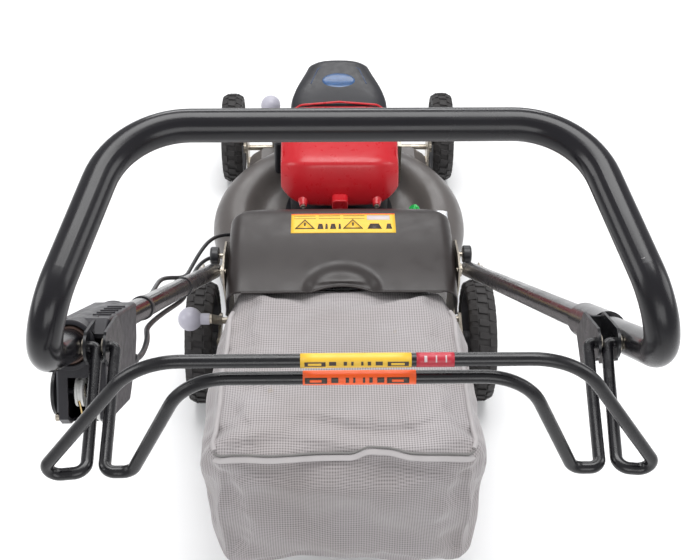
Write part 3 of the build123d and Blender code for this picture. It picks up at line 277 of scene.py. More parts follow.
# ================================================================ mesh tools
def add_piece(name, verts, faces, look, body, slot=None, replaces=(), smooth=True, bevel=0.0, subdivide=0):
    """New mesh that rides on a body; look is a material or a slot's name."""
    mesh = bpy.data.meshes.new(name)
    mesh.from_pydata([tuple(v) for v in verts], [], [tuple(f) for f in faces])
    mesh.validate()
    clean_mesh(mesh)
    obj = bpy.data.objects.new(name, mesh)
    bpy.context.scene.collection.objects.link(obj)
    finish_piece(obj, look, body, slot, replaces, smooth, bevel, subdivide)
    return obj


def clean_mesh(mesh):
    """Outward normals and merged doubles."""
    bm = bmesh.new()
    bm.from_mesh(mesh)
    bmesh.ops.remove_doubles(bm, verts=bm.verts, dist=1e-6)
    bmesh.ops.recalc_face_normals(bm, faces=bm.faces)
    bm.to_mesh(mesh)
    bm.free()


def finish_piece(obj, look, body, slot=None, replaces=(), smooth=True, bevel=0.0, subdivide=0):
    obj.data.materials.clear()
    obj.data.materials.append(made_materials[look] if isinstance(look, str) else look)
    slot = slot or (look if isinstance(look, str) else None)
    if bevel:
        made = obj.modifiers.new("bevel", "BEVEL")
        made.width, made.segments, made.limit_method, made.angle_limit = bevel, 3, "ANGLE", math.radians(35)
        made.harden_normals = False
    if subdivide:
        made = obj.modifiers.new("subdivide", "SUBSURF")
        made.levels = made.render_levels = subdivide
    if smooth:
        for polygon in obj.data.polygons:
            polygon.use_smooth = True
        obj.data.set_sharp_from_angle(angle=math.radians(40))
    if replaces:
        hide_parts(*replaces)
    if body:
        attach(obj, body)


def filleted(points, radii, steps=10):
    """Straight runs joined by tangent arcs, as a list of points."""
    out = [points[0]]
    for before, corner, after, radius in zip(points, points[1:], points[2:], radii):
        u, w = (before - corner).normalized(), (after - corner).normalized()
        angle = u.angle(w)
        start, stop = corner + u * radius / math.tan(angle / 2), corner + w * radius / math.tan(angle / 2)
        centre = corner + (u + w).normalized() * radius / math.sin(angle / 2)
        swing = Vector(start - centre).rotation_difference(stop - centre)
        count = max(2, int(steps * (math.pi - angle) / (math.pi / 2)))
        for index in range(count + 1):
            part = Matrix.Rotation(swing.angle * index / count, 3, swing.axis)
            out.append(centre + part @ (start - centre))
    out.append(points[-1])
    return out


def resampled(points, spacing):
    """Points no further apart than the spacing."""
    out = []
    for a, b in zip(points, points[1:]):
        count = max(1, int((b - a).length / spacing))
        out += [a + (b - a) * index / count for index in range(count)]
    return out + [points[-1]]


def tube_mesh(points, radius, sides=28):
    """Verts and faces of a round tube along points, with frames carried along the path."""
    verts, faces = [], []
    tangents = [(b - a).normalized() for a, b in zip(points, points[1:])]
    tangents = [tangents[0]] + [(a + b).normalized() for a, b in zip(tangents, tangents[1:])] + [tangents[-1]]
    normal = tangents[0].orthogonal().normalized()
    for point, tangent in zip(points, tangents):
        normal = (normal - tangent * normal.dot(tangent)).normalized()
        side = tangent.cross(normal)
        for step in range(sides):
            angle = 2 * math.pi * step / sides
            verts.append(point + (normal * math.cos(angle) + side * math.sin(angle)) * radius)
    for ring in range(len(points) - 1):
        for step in range(sides):
            a, b = ring * sides + step, ring * sides + (step + 1) % sides
            faces.append((a, b, b + sides, a + sides))
    faces.append(tuple(range(sides - 1, -1, -1)))
    last = (len(points) - 1) * sides
    faces.append(tuple(range(last, last + sides)))
    return verts, faces


def add_tube(name, points, radius, look, body, **options):
    sides = options.pop("sides", 28)
    verts, faces = tube_mesh(points, radius, sides)
    return add_piece(name, verts, faces, look, body, **options)


def grid_faces(rows, columns, closed=False):
    """Quads of a grid whose points run column by column within each row."""
    faces = []
    wrap = columns if closed else columns - 1
    for row in range(rows - 1):
        for column in range(wrap):
            a, b = row * columns + column, row * columns + (column + 1) % columns
            faces.append((a, b, b + columns, a + columns))
    return faces


def closed_faces(rows, columns):
    """Quads of a closed skin, with both ends filled."""
    last = (rows - 1) * columns
    ends = [tuple(range(columns)), tuple(range(last + columns - 1, last - 1, -1))]
    return grid_faces(rows, columns, closed=True) + ends


def prism(points, x0, x1):
    """Verts and faces of a side outline, (Y, Z) in millimetres, between two X stations."""
    count = len(points)
    verts = [at(x, y, z) for x in (x0, x1) for y, z in points]
    faces = [tuple(range(count)), tuple(range(2 * count - 1, count - 1, -1))]
    faces += [(i, (i + 1) % count, (i + 1) % count + count, i + count) for i in range(count)]
    return verts, faces


def turned(profile, centre, axis, sides=48):
    """Verts and faces turned about an axis; profile is (along, radius) in millimetres."""
    centre, axis = Vector(centre), Vector(axis).normalized()
    normal = axis.orthogonal().normalized()
    side = axis.cross(normal)
    verts = []
    for along, radius in profile:
        for step in range(sides):
            angle = 2 * math.pi * step / sides
            out = (normal * math.cos(angle) + side * math.sin(angle)) * radius * MM
            verts.append(centre + axis * along * MM + out)
    return verts, closed_faces(len(profile), sides)


def add_turned(name, profile, centre, axis, look, body, **options):
    sides = options.pop("sides", 48)
    verts, faces = turned(profile, centre, axis, sides)
    return add_piece(name, verts, faces, look, body, **options)


def smoothstep(value, low=0.0, high=1.0):
    t = min(1.0, max(0.0, (value - low) / (high - low)))
    return t * t * (3 - 2 * t)


# ================================================================ engine cowl, top cover and filler
def add_lathe_screw(name, centre, axis, radius, height, look, body, replaces=()):
    """Domed screw head with a shallow dish in its top."""
    profile = [(-2, radius * 0.9), (0, radius), (height * 0.55, radius), (height * 0.9, radius * 0.8),
               (height, radius * 0.45), (height * 0.7, radius * 0.28), (height * 0.7, 0.01)]
    return add_turned(name, profile, centre, axis, look, body, sides=32, replaces=replaces)


def loft(name, sections, look, body, **options):
    """Skin through closed sections of equal length, with both ends filled."""
    verts = [point for section in sections for point in section]
    return add_piece(name, verts, closed_faces(len(sections), len(sections[0])), look, body, **options)


def rounded_box_section(y, half, low, high, radius, lower_radius=None, steps=7):
    """Closed X-Z section at a Y station: straight sides with rounded corners."""
    lower_radius = radius if lower_radius is None else lower_radius
    points = []
    corners = ((half - radius, high - radius, radius, 0), (-half + radius, high - radius, radius, 90),
               (-half + lower_radius, low + lower_radius, lower_radius, 180),
               (half - lower_radius, low + lower_radius, lower_radius, 270))
    for cx, cz, r, start in corners:
        for step in range(steps + 1):
            angle = math.radians(start + 90 * step / steps)
            points.append(at(cx + r * math.cos(angle), y, cz + r * math.sin(angle)))
    return points


def add_cowl():
    """Red cowl: rounded hood with a rolled rear edge, a soft crease and a curved lower lip."""
    columns, rows = 49, 30
    half, rear, crease, front = 105.5, 166.5, 189.0, 329.5
    verts = []
    for row in range(rows):
        t = row / (rows - 1)
        for column in range(columns):
            s = 2 * column / (columns - 1) - 1
            edge = abs(s) ** 5
            if t < 0.42:
                w = t / 0.42
                lip = 289.0 + 26.0 * abs(s) ** 5 * (1 - w)
                y = rear + (crease - rear) * (w ** 1.6) + 22 * edge
                z = lip + (368 - lip) * w
                x = half * s
            else:
                w = (t - 0.42) / 0.58
                y = crease + (front - crease) * w
                z = 368 + 22 * math.sin(w * math.pi / 2) ** 0.8
                y += 22 * edge * (1 - w) ** 2
                x = half * s
            z -= 19 * abs(s) ** 5 * smoothstep(t, 0.25, 0.5)
            verts.append(at(x, min(y, front), z))
    faces = grid_faces(rows, columns)
    skin = add_piece("cowl_skin", verts, faces, "cowl_red", "chassis", subdivide=1, replaces=("engine_cowl",))
    make_solid(skin, 2.2)
    for side, name in ((-1, "left"), (1, "right")):
        panel = [(y, z) for y, z in ((196, 326), (213, 354), (226, 364), (329, 372), (329, 316), (202, 318))]
        verts, faces = prism(panel, side * 103.2, side * 100.5)
        add_piece(f"cowl_side_{name}", verts, faces, "cowl_red", "chassis", bevel=0.0012)
        boss = [(-8, 4.8), (-7.4, 6.0), (-6, 6.6), (-2, 7.2), (2, 8.4), (10, 11.5)]
        centre = at(side * 66, 166, 296)
        add_turned(f"cowl_boss_{name}", boss, centre, (0, 1, 0.10), "cowl_red", "chassis", sides=40)
        add_lathe_screw(f"cowl_screw_{name}", centre + Vector((0, -8.0 * MM, -0.8 * MM)), (0, -1, -0.1), 4.6, 3.0,
                        "zinc", "chassis", replaces=("cowl_screws",) if side < 0 else ())
    spout = [rounded_box_section(y, h, 285.5 + d, 312 + d * 0.4, 6.5) for y, h, d in
             ((151.5, 11.5, 2), (153, 13.5, 0.5), (160, 14.5, 0), (168, 15, 0), (178, 15, 6))]
    loft("cowl_spout", spout, "cowl_red", "chassis", subdivide=1)
    nipple = [(0, 5.5), (1, 7.6), (6, 8.4), (9, 8.2), (10, 6.4), (15, 6.2), (18, 5.6), (19, 4.0)]
    add_turned("primer_nipple", nipple, at(0, 153, 288), (0, -0.42, -0.91), made_materials["nipple"], "chassis",
               slot="plate_silver", sides=36)


def make_solid(obj, thickness_mm):
    """Gives a skin its wall, inwards."""
    made = obj.modifiers.new("wall", "SOLIDIFY")
    made.thickness = thickness_mm * MM
    made.offset = -1


def top_cover_half(y):
    """Half width of the black top cover's crown and its height at a Y station."""
    t = (y - TOP_REAR) / (TOP_FRONT - TOP_REAR)
    half = 90.0 - 36 * smoothstep(t, 0.12, 1.0) - 9 * max(0, t - 0.86) / 0.14
    crown = TOP_CROWN + 9.0 * math.sin(min(1.0, t / 0.62) * math.pi / 2) - 44 * max(0.0, (t - 0.80) / 0.20) ** 1.7
    return half, crown


def add_top_cover():
    """Black cover: tapered crown with rolled shoulders, closed sides and a rounded tip."""
    sections = []
    for index in range(26):
        y = TOP_REAR + (TOP_FRONT - TOP_REAR) * index / 25
        half, crown = top_cover_half(y)
        section = []
        steps = 33
        for step in range(steps):
            s = 1 - 2 * step / (steps - 1)
            edge = abs(s) ** 4
            section.append(at(half * s, y, crown - 5 * s * s - 11 * edge))
        section += [at(-half - 1.2, y, 352), at(-half - 1.4, y, 290), at(half + 1.4, y, 290), at(half + 1.2, y, 352)]
        sections.append(section)
    loft("top_cover_shell", sections, "engine_black", "chassis", subdivide=1, replaces=("engine_top_cover",))
    oval = []
    for rx, ry, lift in ((31, 17, 0.3), (30, 16, 1.2), (26, 13, 1.9), (12, 6, 2.3), (0.5, 0.3, 2.4)):
        for step in range(56):
            angle = 2 * math.pi * step / 56
            x, y = rx * math.cos(angle), 402 + ry * math.sin(angle) * 1.25
            half, crown = top_cover_half(y)
            s = x / half
            oval.append(at(x, y, crown - 5 * s * s - 11 * abs(s) ** 4 + lift - 0.6))
    add_piece("cover_emblem", oval, grid_faces(5, 56, closed=True), made_materials["emblem"], "chassis",
              slot="engine_black")
    line = []
    for x, y in ((-52, 396), (-38, 446), (38, 446), (52, 396)):
        half, crown = top_cover_half(y)
        s = x / half
        line.append(at(x, y, crown - 5 * s * s - 11 * abs(s) ** 4 + 0.15))
    add_tube("cover_piping", resampled(filleted(line, [9 * MM, 9 * MM]), 0.004), 0.0009,
             made_materials["emblem_line"],
             "chassis", slot="engine_black", sides=8)
    shoulder = [at(-97, 322, 330), at(-97, 330, 372), at(-70, 333, 391), at(0, 334, 397), at(70, 333, 391),
                at(97, 330, 372), at(97, 322, 330)]
    add_tube("cowl_front_bead", resampled(filleted(shoulder, [14 * MM] * 5), 0.006), 0.0020, "cowl_red", "chassis",
             sides=14)


def add_filler_details():
    """Ribs round the green cap and its finger tab."""
    base, top = at(142, 256, 190), at(151, 255.1, 195.4)
    axis = (top - base).normalized()
    side = axis.orthogonal().normalized()
    for index in range(14):
        turn = Matrix.Rotation(2 * math.pi * index / 14, 3, axis)
        out = turn @ side
        start = base + out * 0.0166 + axis * 0.0016
        add_tube(f"cap_rib_{index:02d}", resampled([start, start + axis * 0.0074], 0.002), 0.0012, "cap_green",
                 "oil_cap", sides=10)
    across = axis.cross(side)
    tab = []
    for u, v, w in ((-13, -3, 0), (13, -3, 0), (13, 3, 0), (-13, 3, 0), (-11, -1.8, 5), (11, -1.8, 5), (11, 1.8, 5),
                    (-11, 1.8, 5)):
        tab.append(top + side * u * MM + across * v * MM + axis * w * MM)
    faces = [(0, 1, 2, 3), (4, 5, 6, 7), (0, 1, 5, 4), (1, 2, 6, 5), (2, 3, 7, 6), (3, 0, 4, 7)]
    add_piece("cap_tab", tab, faces, "cap_green", "oil_cap", bevel=0.0012)


# ================================================================ tyres and wheels
def add_tread(corner, radius, width, blocks):
    """Carcass with sidewall rings and three rows of tread blocks, the middle one staggered."""
    low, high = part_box(f"{corner}_tyre")
    centre = (low + high) / 2
    side = 1 if centre.x > 0 else -1
    body = f"{corner}_wheel"
    half = width / 2
    seat = radius - 20
    profile = [(-half + 3, seat), (-half, seat + 3), (-half + 0.5, seat + 9), (-half, radius - 11),
               (-half + 1.5, radius - 7.5),
               (-half + 5, radius - 4.6), (-half * 0.5, radius - 3.3), (0, radius - 3.0), (half * 0.5, radius - 3.3),
               (half - 5, radius - 4.6), (half - 1.5, radius - 7.5), (half, radius - 11), (half - 0.5, seat + 9),
               (half, seat + 3), (half - 3, seat), (0, seat - 0.05)]
    verts, faces = [], []
    sides = 96
    for along, reach in profile:
        for step in range(sides):
            angle = 2 * math.pi * step / sides
            verts.append(centre + Vector((along, reach * math.cos(angle), reach * math.sin(angle))) * MM)
    faces = grid_faces(len(profile), sides, closed=True)
    last = (len(profile) - 1) * sides
    faces += [(last + k, last + (k + 1) % sides, (k + 1) % sides, k) for k in range(sides)]
    add_piece(f"{corner}_carcass", verts, faces, "tyre", body, replaces=(f"{corner}_tyre",))
    verts, faces = [], []
    pitch = 2 * math.pi / blocks
    rows = ((-half * 0.99, -half * 0.42, 0.0, 0.62), (-half * 0.34, half * 0.34, 0.5, 0.50),
            (half * 0.42, half * 0.99, 0.0, 0.62))
    for x0, x1, phase, share in rows:
        for index in range(blocks):
            start = (index + phase) * pitch
            base_index = len(verts)
            for level, inset in ((-6.5, 0.0), (-0.6, 0.0), (0.0, 0.8)):
                for ax, offset in ((x0, 0), (x1, 0), (x1, share), (x0, share)):
                    shoulder = 6.0 * max(0.0, (abs(ax) / half - 0.75) / 0.24) ** 1.5
                    inward = inset * (1 if ax == x1 else -1) * -1
                    angle = start + offset * pitch + (0.10 * pitch if ax == x1 else 0) + \
                        (inset * (1 if offset == 0 else -1)) / radius
                    reach = radius - shoulder + level
                    verts.append(centre + Vector((ax + inward, reach * math.cos(angle),
                                                  reach * math.sin(angle))) * MM)
            b = base_index
            faces += [(b, b + 1, b + 2, b + 3), (b + 8, b + 9, b + 10, b + 11)]
            for lower in (b, b + 4):
                faces += [(lower + k, lower + (k + 1) % 4, lower + 4 + (k + 1) % 4, lower + 4 + k) for k in range(4)]
    add_piece(f"{corner}_tread", verts, faces, "tyre", body, smooth=False)
    outer = centre + Vector((side * (half - 1.2) * MM, 0, 0))
    for ring_radius in (seat + 5.5, seat + 11):
        loop = [outer + Vector((0, ring_radius * math.cos(a), ring_radius * math.sin(a))) * MM
                for a in (2 * math.pi * k / 96 for k in range(97))]
        add_tube(f"{corner}_bead_{int(ring_radius)}", loop, 0.0011, "tyre", body, sides=8)


def add_tyres():
    for corner in ("rear_left", "rear_right"):
        add_tread(corner, REAR_TYRE_RADIUS, REAR_TYRE_WIDTH, REAR_BLOCKS)
    for corner in ("front_left", "front_right"):
        add_tread(corner, FRONT_TYRE_RADIUS, FRONT_TYRE_WIDTH, FRONT_BLOCKS)


# ================================================================ rear cover
def cover_top(x, y):
    """Height of the rear cover's sheet, with its scooped grip at the rear edge."""
    crown = 371 - 14 * ((y + 15) / 111) ** 2
    t = min(1.0, max(0.0, (y - 52) / 45))
    z = crown - 34 * (1 - math.sqrt(1 - t * t))
    reach = math.hypot(x / 66, (y + 126) / 58)
    return z - 8.5 * smoothstep(1 - reach, 0.0, 0.30)


def add_rear_cover():
    """Moulded cover: one skin with rounded shoulders, round front corners and an arched rear lip."""
    stations = [COVER_REAR + 223 * (1 - (1 - index / 46) ** 1.25) for index in range(47)]
    flats = [1 - 2 * k / 60 for k in range(61)]
    verts, row_length = [], 0
    for y in stations:
        t = min(1.0, max(0.0, (y - 50) / 47))
        half = COVER_HALF - 104 * (1 - math.sqrt(max(0.0, 1 - t * t)))
        edge_z = cover_top(half - SHOULDER, y)
        section = [at(half, y, SIDE_LOW), at(half, y, SIDE_TOP)]
        for step in range(9):
            angle = math.radians(90 * step / 8)
            section.append(at(half - SHOULDER + SHOULDER * math.cos(angle), y,
                              edge_z - SHOULDER + SHOULDER * math.sin(angle)))
        for s in flats[1:-1]:
            x = (half - SHOULDER) * s
            rear_cut = ARCH_DEPTH * max(0.0, 1 - (x / ARCH_HALF) ** 2) * smoothstep(-y, 96, 126)
            section.append(at(x, y + rear_cut, cover_top(x, y) + 1.2 * (1 - s * s)))
        for step in range(8, -1, -1):
            angle = math.radians(90 * step / 8)
            section.append(at(-half + SHOULDER - SHOULDER * math.cos(angle), y,
                              edge_z - SHOULDER + SHOULDER * math.sin(angle)))
        section += [at(-half, y, SIDE_TOP), at(-half, y, SIDE_LOW)]
        row_length = len(section)
        verts += section
    last = verts[-row_length:]
    floor_z = at(0, 0, 309).z
    for share in (0.5, 1.0):
        verts += [Vector((p.x, p.y, p.z + (min(p.z, floor_z) - p.z) * share)) for p in last]
    cover = add_piece("cover_skin", verts, grid_faces(len(stations) + 2, row_length), "cover_plastic", "rear_cover",
                      subdivide=1, replaces=("rear_cover",))
    make_solid(cover, 2.4)
    lip = [at(x, COVER_REAR - 0.2 + ARCH_DEPTH * max(0.0, 1 - (x / ARCH_HALF) ** 2),
              cover_top(x, COVER_REAR) + 1.2 * (1 - (x / 162) ** 2) - 0.8)
           for x in range(-160, 161, 5)]
    add_tube("cover_lip", lip, 0.0017, "cover_plastic", "rear_cover", sides=12)
    for side, name in ((-1, "left"), (1, "right")):
        edge = [at(side * (COVER_HALF + 0.2), y, 302.5) for y in range(-122, 51, 8)]
        add_tube(f"cover_rim_{name}", edge, 0.0020, "cover_plastic", "rear_cover", sides=12)
        knuckle = [(-25, 5.8), (-24, 7.3), (24, 7.3), (25, 5.8)]
        add_turned(f"cover_knuckle_{name}", knuckle, at(side * 100, 97, 319), (1, 0, 0), "cover_plastic",
                   "rear_cover")
    patch("cover_label", -83, 91, -2, 52, 0.35, "label_yellow", 8)
    patch("cover_label_edge", -83, 91, 49.5, 52, 0.55, "label_orange", 3)
    patch("cover_label_box", 44, 82, 33, 47, 0.55, "label_pale", 3)
    for index, (x, y) in enumerate(((-60, 19), (20, 19))):
        for size, lift, look in ((17, 0.55, "label_ink"), (13, 0.75, "label_yellow")):
            corners = [(x - size, y - size * 0.62), (x + size, y - size * 0.62), (x, y + size * 0.95)]
            flat_shape(f"cover_sign_{index}_{size}", corners, lift, look)
        flat_shape(f"cover_sign_bar_{index}", [(x - 1.3, y - 3), (x + 1.3, y - 3), (x + 1.6, y + 6), (x - 1.6,
                                                                                                      y + 6)], 0.95,
                   "label_ink")
    for index, (x, w) in enumerate(((-34, 5), (-24, 2.2), (-13, 5), (-2, 2.2), (56, 12), (80, 5))):
        flat_shape(f"cover_mark_{index}", [(x - w, 8), (x + w, 8), (x + w * 0.6, 22), (x - w * 0.6, 22)], 0.55,
                   "label_ink")
    for index in range(3):
        x0 = -78 + 41 * index
        patch(f"cover_label_line_{index}", x0, x0 + 36, 44.5, 46.0, 0.55, "label_ink", 4)
        patch(f"cover_label_rule_{index}", x0, x0 + 36, 37.0, 38.0, 0.55, "label_ink", 4)


def on_cover(x, y, lift):
    return at(x, y, cover_top(x, y) + 1.2 * (1 - (x / 162) ** 2) + lift)


def patch(name, x0, x1, y0, y1, lift, look, cuts):
    """Thin sticker that follows the cover's sheet."""
    verts = [on_cover(x0 + (x1 - x0) * i / 24, y0 + (y1 - y0) * j / cuts,
                      lift) for j in range(cuts + 1) for i in range(25)]
    piece = add_piece(name, verts, grid_faces(cuts + 1, 25), made_materials[look], "rear_cover", slot="cover_plastic")
    make_solid(piece, 0.25)


def flat_shape(name, corners, lift, look):
    verts = [on_cover(x, y, lift) for x, y in corners]
    piece = add_piece(name, verts, [tuple(range(len(corners)))], made_materials[look], "rear_cover",
                      slot="cover_plastic")
    make_solid(piece, 0.25)


# ================================================================ grass bag
def add_bag():
    """Bag of coarse grid cloth: inflated shell with folds, piping, a seam flange at the rear edge and a neck."""
    front, rear, half = -98.0, -470.0, 187.0
    sections = []
    for index in range(25):
        t = index / 24
        y = front + (rear - front) * t
        wide = half - 13 * (1 - smoothstep(t, 0.08, 0.22)) + 5 * smoothstep(t, 0, 0.7) - 9 * max(0.0, t - 0.94) / 0.06
        top = 343 + 38 * t - 4 * math.sin(math.pi * t) - 8 * max(0.0, t - 0.95) / 0.05
        low = 112 - 12 * smoothstep(t, 0, 0.4) + 12 * max(0.0, t - 0.93) / 0.07
        sections.append(rounded_box_section(y, wide, low, top, 17, 26, steps=6))
    bag = loft("bag_shell", sections, "bag", "grass_bag", replaces=("bag_fabric",))
    inflate(bag)
    crease_bag(bag)
    for side, name in ((-1, "left"), (1, "right")):
        edge = []
        for index in range(30):
            t = index / 29
            y = -136 - 322 * t
            edge.append(at(side * (184 + 5 * smoothstep(t, 0, 0.7) + 1.4 * math.sin(17 * t)), y,
                           347.5 + 34.5 * t + 1.8 * math.sin(13 * t)))
        add_tube(f"bag_piping_{name}", resampled(cling(bag, resampled(edge, 0.008), 1.2), 0.006), 0.0036,
                 made_materials["piping"], "grass_bag", slot="bag",
                 sides=14)
    flange = []
    for index in range(61):
        s = 1 - 2 * index / 60
        sag = -6.5 * (1 - s * s) + 2.6 * math.sin(7 * s + 0.6) + 1.2 * math.sin(19 * s) - 7 * smoothstep(abs(s), 0.86,
                                                                                                         1.0)
        flange.append(at(186 * s, -474 + 9 * smoothstep(abs(s), 0.93, 1.0), 378 + sag))
    flange = cling(bag, flange, 1.0)
    ribbon("bag_flange", flange, 9, 2.6, (0, -0.55, 0.84))
    add_tube("bag_seam_cord", [p + Vector((0, 0.0042, 0.0052)) for p in flange], 0.0016, made_materials["seam"],
             "grass_bag",
             slot="bag", sides=10)
    neck = []
    for y, grow in ((-136, 8), (-120, 3), (-96, 0), (-66, -1)):
        neck.append(rounded_box_section(y, 144 + grow, 154 - grow * 0.5, 296 + grow, 12, steps=5))
    verts = [point for section in neck for point in section]
    piece = add_piece("bag_neck", verts, grid_faces(4, len(neck[0]), closed=True), "bag", "grass_bag", subdivide=1)
    make_solid(piece, 1.5)


def cling(obj, points, lift_mm, rounds=2):
    """Points moved onto a mesh's surface, lifted off it a little and evened out along the line."""
    tree = BVHTree.FromPolygons([v.co for v in obj.data.vertices], [tuple(p.vertices) for p in obj.data.polygons])
    placed = []
    for point in points:
        spot, normal, _, _ = tree.find_nearest(point)
        placed.append(spot + normal * lift_mm * MM)
    for _ in range(rounds):
        placed = [placed[0]] + [(a + b * 2 + c) / 4 for a, b, c in zip(placed, placed[1:], placed[2:])] + [placed[-1]]
    return placed


def ribbon(name, points, width, thick, normal):
    """Flat stitched strip along points, lying square to the normal."""
    normal = Vector(normal).normalized()
    verts = []
    for index, point in enumerate(points):
        before, after = points[max(0, index - 1)], points[min(len(points) - 1, index + 1)]
        across = (after - before).normalized().cross(normal).normalized() * width * MM / 2
        lift = normal * thick * MM / 2
        verts += [point - across - lift, point + across - lift, point + across * 0.9 + lift,
                  point - across * 0.9 + lift]
    count = len(points)
    faces = grid_faces(count, 4, closed=True) + [(0, 1, 2, 3), tuple(4 * (count - 1) + k for k in (3, 2, 1, 0))]
    add_piece(name, verts, faces, made_materials["piping"], "grass_bag", slot="bag", bevel=0.0004, subdivide=1)


def inflate(obj):
    """Voxel remesh, then a short cloth run with inner pressure; movement is capped."""
    bpy.context.view_layer.objects.active = obj
    obj.data.remesh_voxel_size = BAG_VOXEL
    for other in bpy.context.selected_objects:
        other.select_set(False)
    obj.select_set(True)
    bpy.ops.object.voxel_remesh()
    start = [v.co.copy() for v in obj.data.vertices]
    cloth = obj.modifiers.new("cloth", "CLOTH")
    cloth.settings.use_pressure = True
    cloth.settings.uniform_pressure_force = CLOTH_PRESSURE
    cloth.settings.effector_weights.gravity = 0.0
    cloth.settings.quality = 5
    scene = bpy.context.scene
    for number in range(1, CLOTH_FRAMES + 1):
        scene.frame_set(number)
    shape = obj.evaluated_get(bpy.context.evaluated_depsgraph_get()).data
    moved = [v.co.copy() for v in shape.vertices]
    obj.modifiers.remove(cloth)
    scene.frame_set(1)
    for vertex, before, after in zip(obj.data.vertices, start, moved):
        shift = after - before
        vertex.co = before + (shift if shift.length < CLOTH_SHIFT_LIMIT else shift.normalized() * CLOTH_SHIFT_LIMIT)
    for polygon in obj.data.polygons:
        polygon.use_smooth = True
    obj.data.materials.clear()
    obj.data.materials.append(made_materials["bag"])


def crease_bag(obj):
    """Folds and slack of used cloth, pressed into the inflated shell."""
    centre = at(0, -300, 230)
    for vertex in obj.data.vertices:
        p = vertex.co
        x, y, z = p.x / MM, (p.y - AXLE_Y) / MM, p.z / MM
        amount = 4.4 * noise.noise(p * 9.0) + 2.6 * noise.noise(p * 23.0)
        if z > 300 and y > -468:
            amount -= 5.0 * math.exp(-((y + 150 - 0.25 * x) / 16) ** 2)
            amount -= 4.5 * math.exp(-((y + 262 + 0.12 * x - 6 * math.sin(x / 31)) / 9) ** 2) * smoothstep(-x, 0, 90)
            amount += 6.2 * math.exp(-((y + 438 + 0.05 * x + 8 * math.sin(x / 38)) / 10) ** 2)
            amount -= 6.4 * math.exp(-((y + 416 + 0.05 * x + 8 * math.sin(x / 33)) / 10) ** 2)
            amount += 4.0 * math.sin((x - 0.8 * y) / 13) * math.exp(-((x - 110) / 55) ** 2 - ((y + 380) / 45) ** 2)
            amount += 4.6 * math.sin((x + y) / 12) * math.exp(-((x + 115) / 38) ** 2 - ((y + 350) / 42) ** 2)
            amount -= 6.0 * math.exp(-((x + 150 + 0.35 * (y + 400)) / 9) ** 2 - ((y + 410) / 40) ** 2)
        if y < -440:
            amount += 4.8 * math.sin(z / 22 + x / 50) * smoothstep(-y, 440, 470) + 2.4 * math.sin(x / 17 - z / 31)
            amount -= 6.0 * math.exp(-((z - 352 - 12 * math.cos(x / 62)) / 12) ** 2) * smoothstep(-y, 440, 468)
            amount += 3.0 * math.exp(-((z - 318) / 24) ** 2) * smoothstep(-y, 440, 468)
        if abs(x) > 170:
            amount += 1.8 * math.sin(y / 21 + z / 34) + 5.0 * math.sin(math.pi * min(1.0, max(0.0, (z - 100) / 270)))
        out = (p - centre).normalized()
        vertex.co = p + out * amount * MM
    made = obj.modifiers.new("subdivide", "SUBSURF")
    made.levels = made.render_levels = 1


# ================================================================ labels on the bails
def wrap(name, body, centre_y, centre_z, x0, x1, start, stop, radius, look):
    """Thin sleeve or patch round a bail's bar; angles in degrees from straight back, upwards."""
    verts = []
    columns = max(3, int((stop - start) / 9))
    for row in range(9):
        x = x0 + (x1 - x0) * row / 8
        for column in range(columns + 1):
            angle = math.radians(180 - (start + (stop - start) * column / columns))
            verts.append(at(x, centre_y + radius * math.cos(angle), centre_z + radius * math.sin(angle)))
    piece = add_piece(name, verts, grid_faces(9, columns + 1), made_materials[look], body, slot="bail_coating")
    make_solid(piece, 0.22)


def add_bail_labels():
    wrap("drive_label_yellow", *DRIVE_BAR, -41, 38, -90, 175, 5.3, "label_yellow")
    wrap("drive_label_red", *DRIVE_BAR, 41.5, 68.5, -90, 175, 5.3, "label_red")
    wrap("blade_label_orange", *BLADE_BAR, -39.5, 42, -90, 175, 5.3, "label_orange")
    wrap("drive_label_mark", *DRIVE_BAR, 47, 49, 28, 78, 5.55, "label_pale")
    for x0, x1 in ((55, 56), (62, 63)):
        wrap(f"drive_label_frame_{x0}", *DRIVE_BAR, x0, x1, 25, 80, 5.55, "label_pale")
    for key, (x0, x1) in (("a", (-37, -25)), ("b", (22, 34))):
        wrap(f"drive_label_box_{key}", *DRIVE_BAR, x0 - 1, x1 + 2, -6, 34, 5.5, "label_ink")
        wrap(f"drive_label_box_in_{key}", *DRIVE_BAR, x0 + 1.5, x1 - 1, 6, 24, 5.7, "label_yellow")
        wrap(f"blade_label_box_{key}", *BLADE_BAR, x0 - 1, x1 + 3, -4, 48, 5.5, "label_ink")
        wrap(f"blade_label_box_in_{key}", *BLADE_BAR, x0 + 2.5, x1 - 1, 12, 32, 5.7, "label_orange")
    for index, x in enumerate((-18, -9, -4, 3, 8, 15)):
        wide = (5.0, 2.4, 1.6, 1.6, 2.4, 5.0)[index]
        wrap(f"drive_label_stroke_{index}", *DRIVE_BAR, x - wide / 2, x + wide / 2, 4, 36, 5.5, "label_ink")
        wrap(f"blade_label_stroke_{index}", *BLADE_BAR, x - wide / 2 + 1.5, x + wide / 2 + 1.5, 4, 48, 5.5,
             "label_ink")


# ================================================================ control box
def leg(distance_short, side=-1.0, offset=0.0):
    """Point on a handle leg, measured back from the bail axis, with an offset square to it (mm)."""
    uy, uz = BAIL_AXIS_Y - FOLD_Y, BAIL_AXIS_Z - FOLD_Z
    length = math.hypot(uy, uz)
    uy, uz = uy / length, uz / length
    distance = length - distance_short
    x = side * (LEG_FOLD_X + LEG_SPREAD / (length + 131) * distance)
    return at(x, FOLD_Y + uy * distance + uz * offset, FOLD_Z + uz * distance - uy * offset)


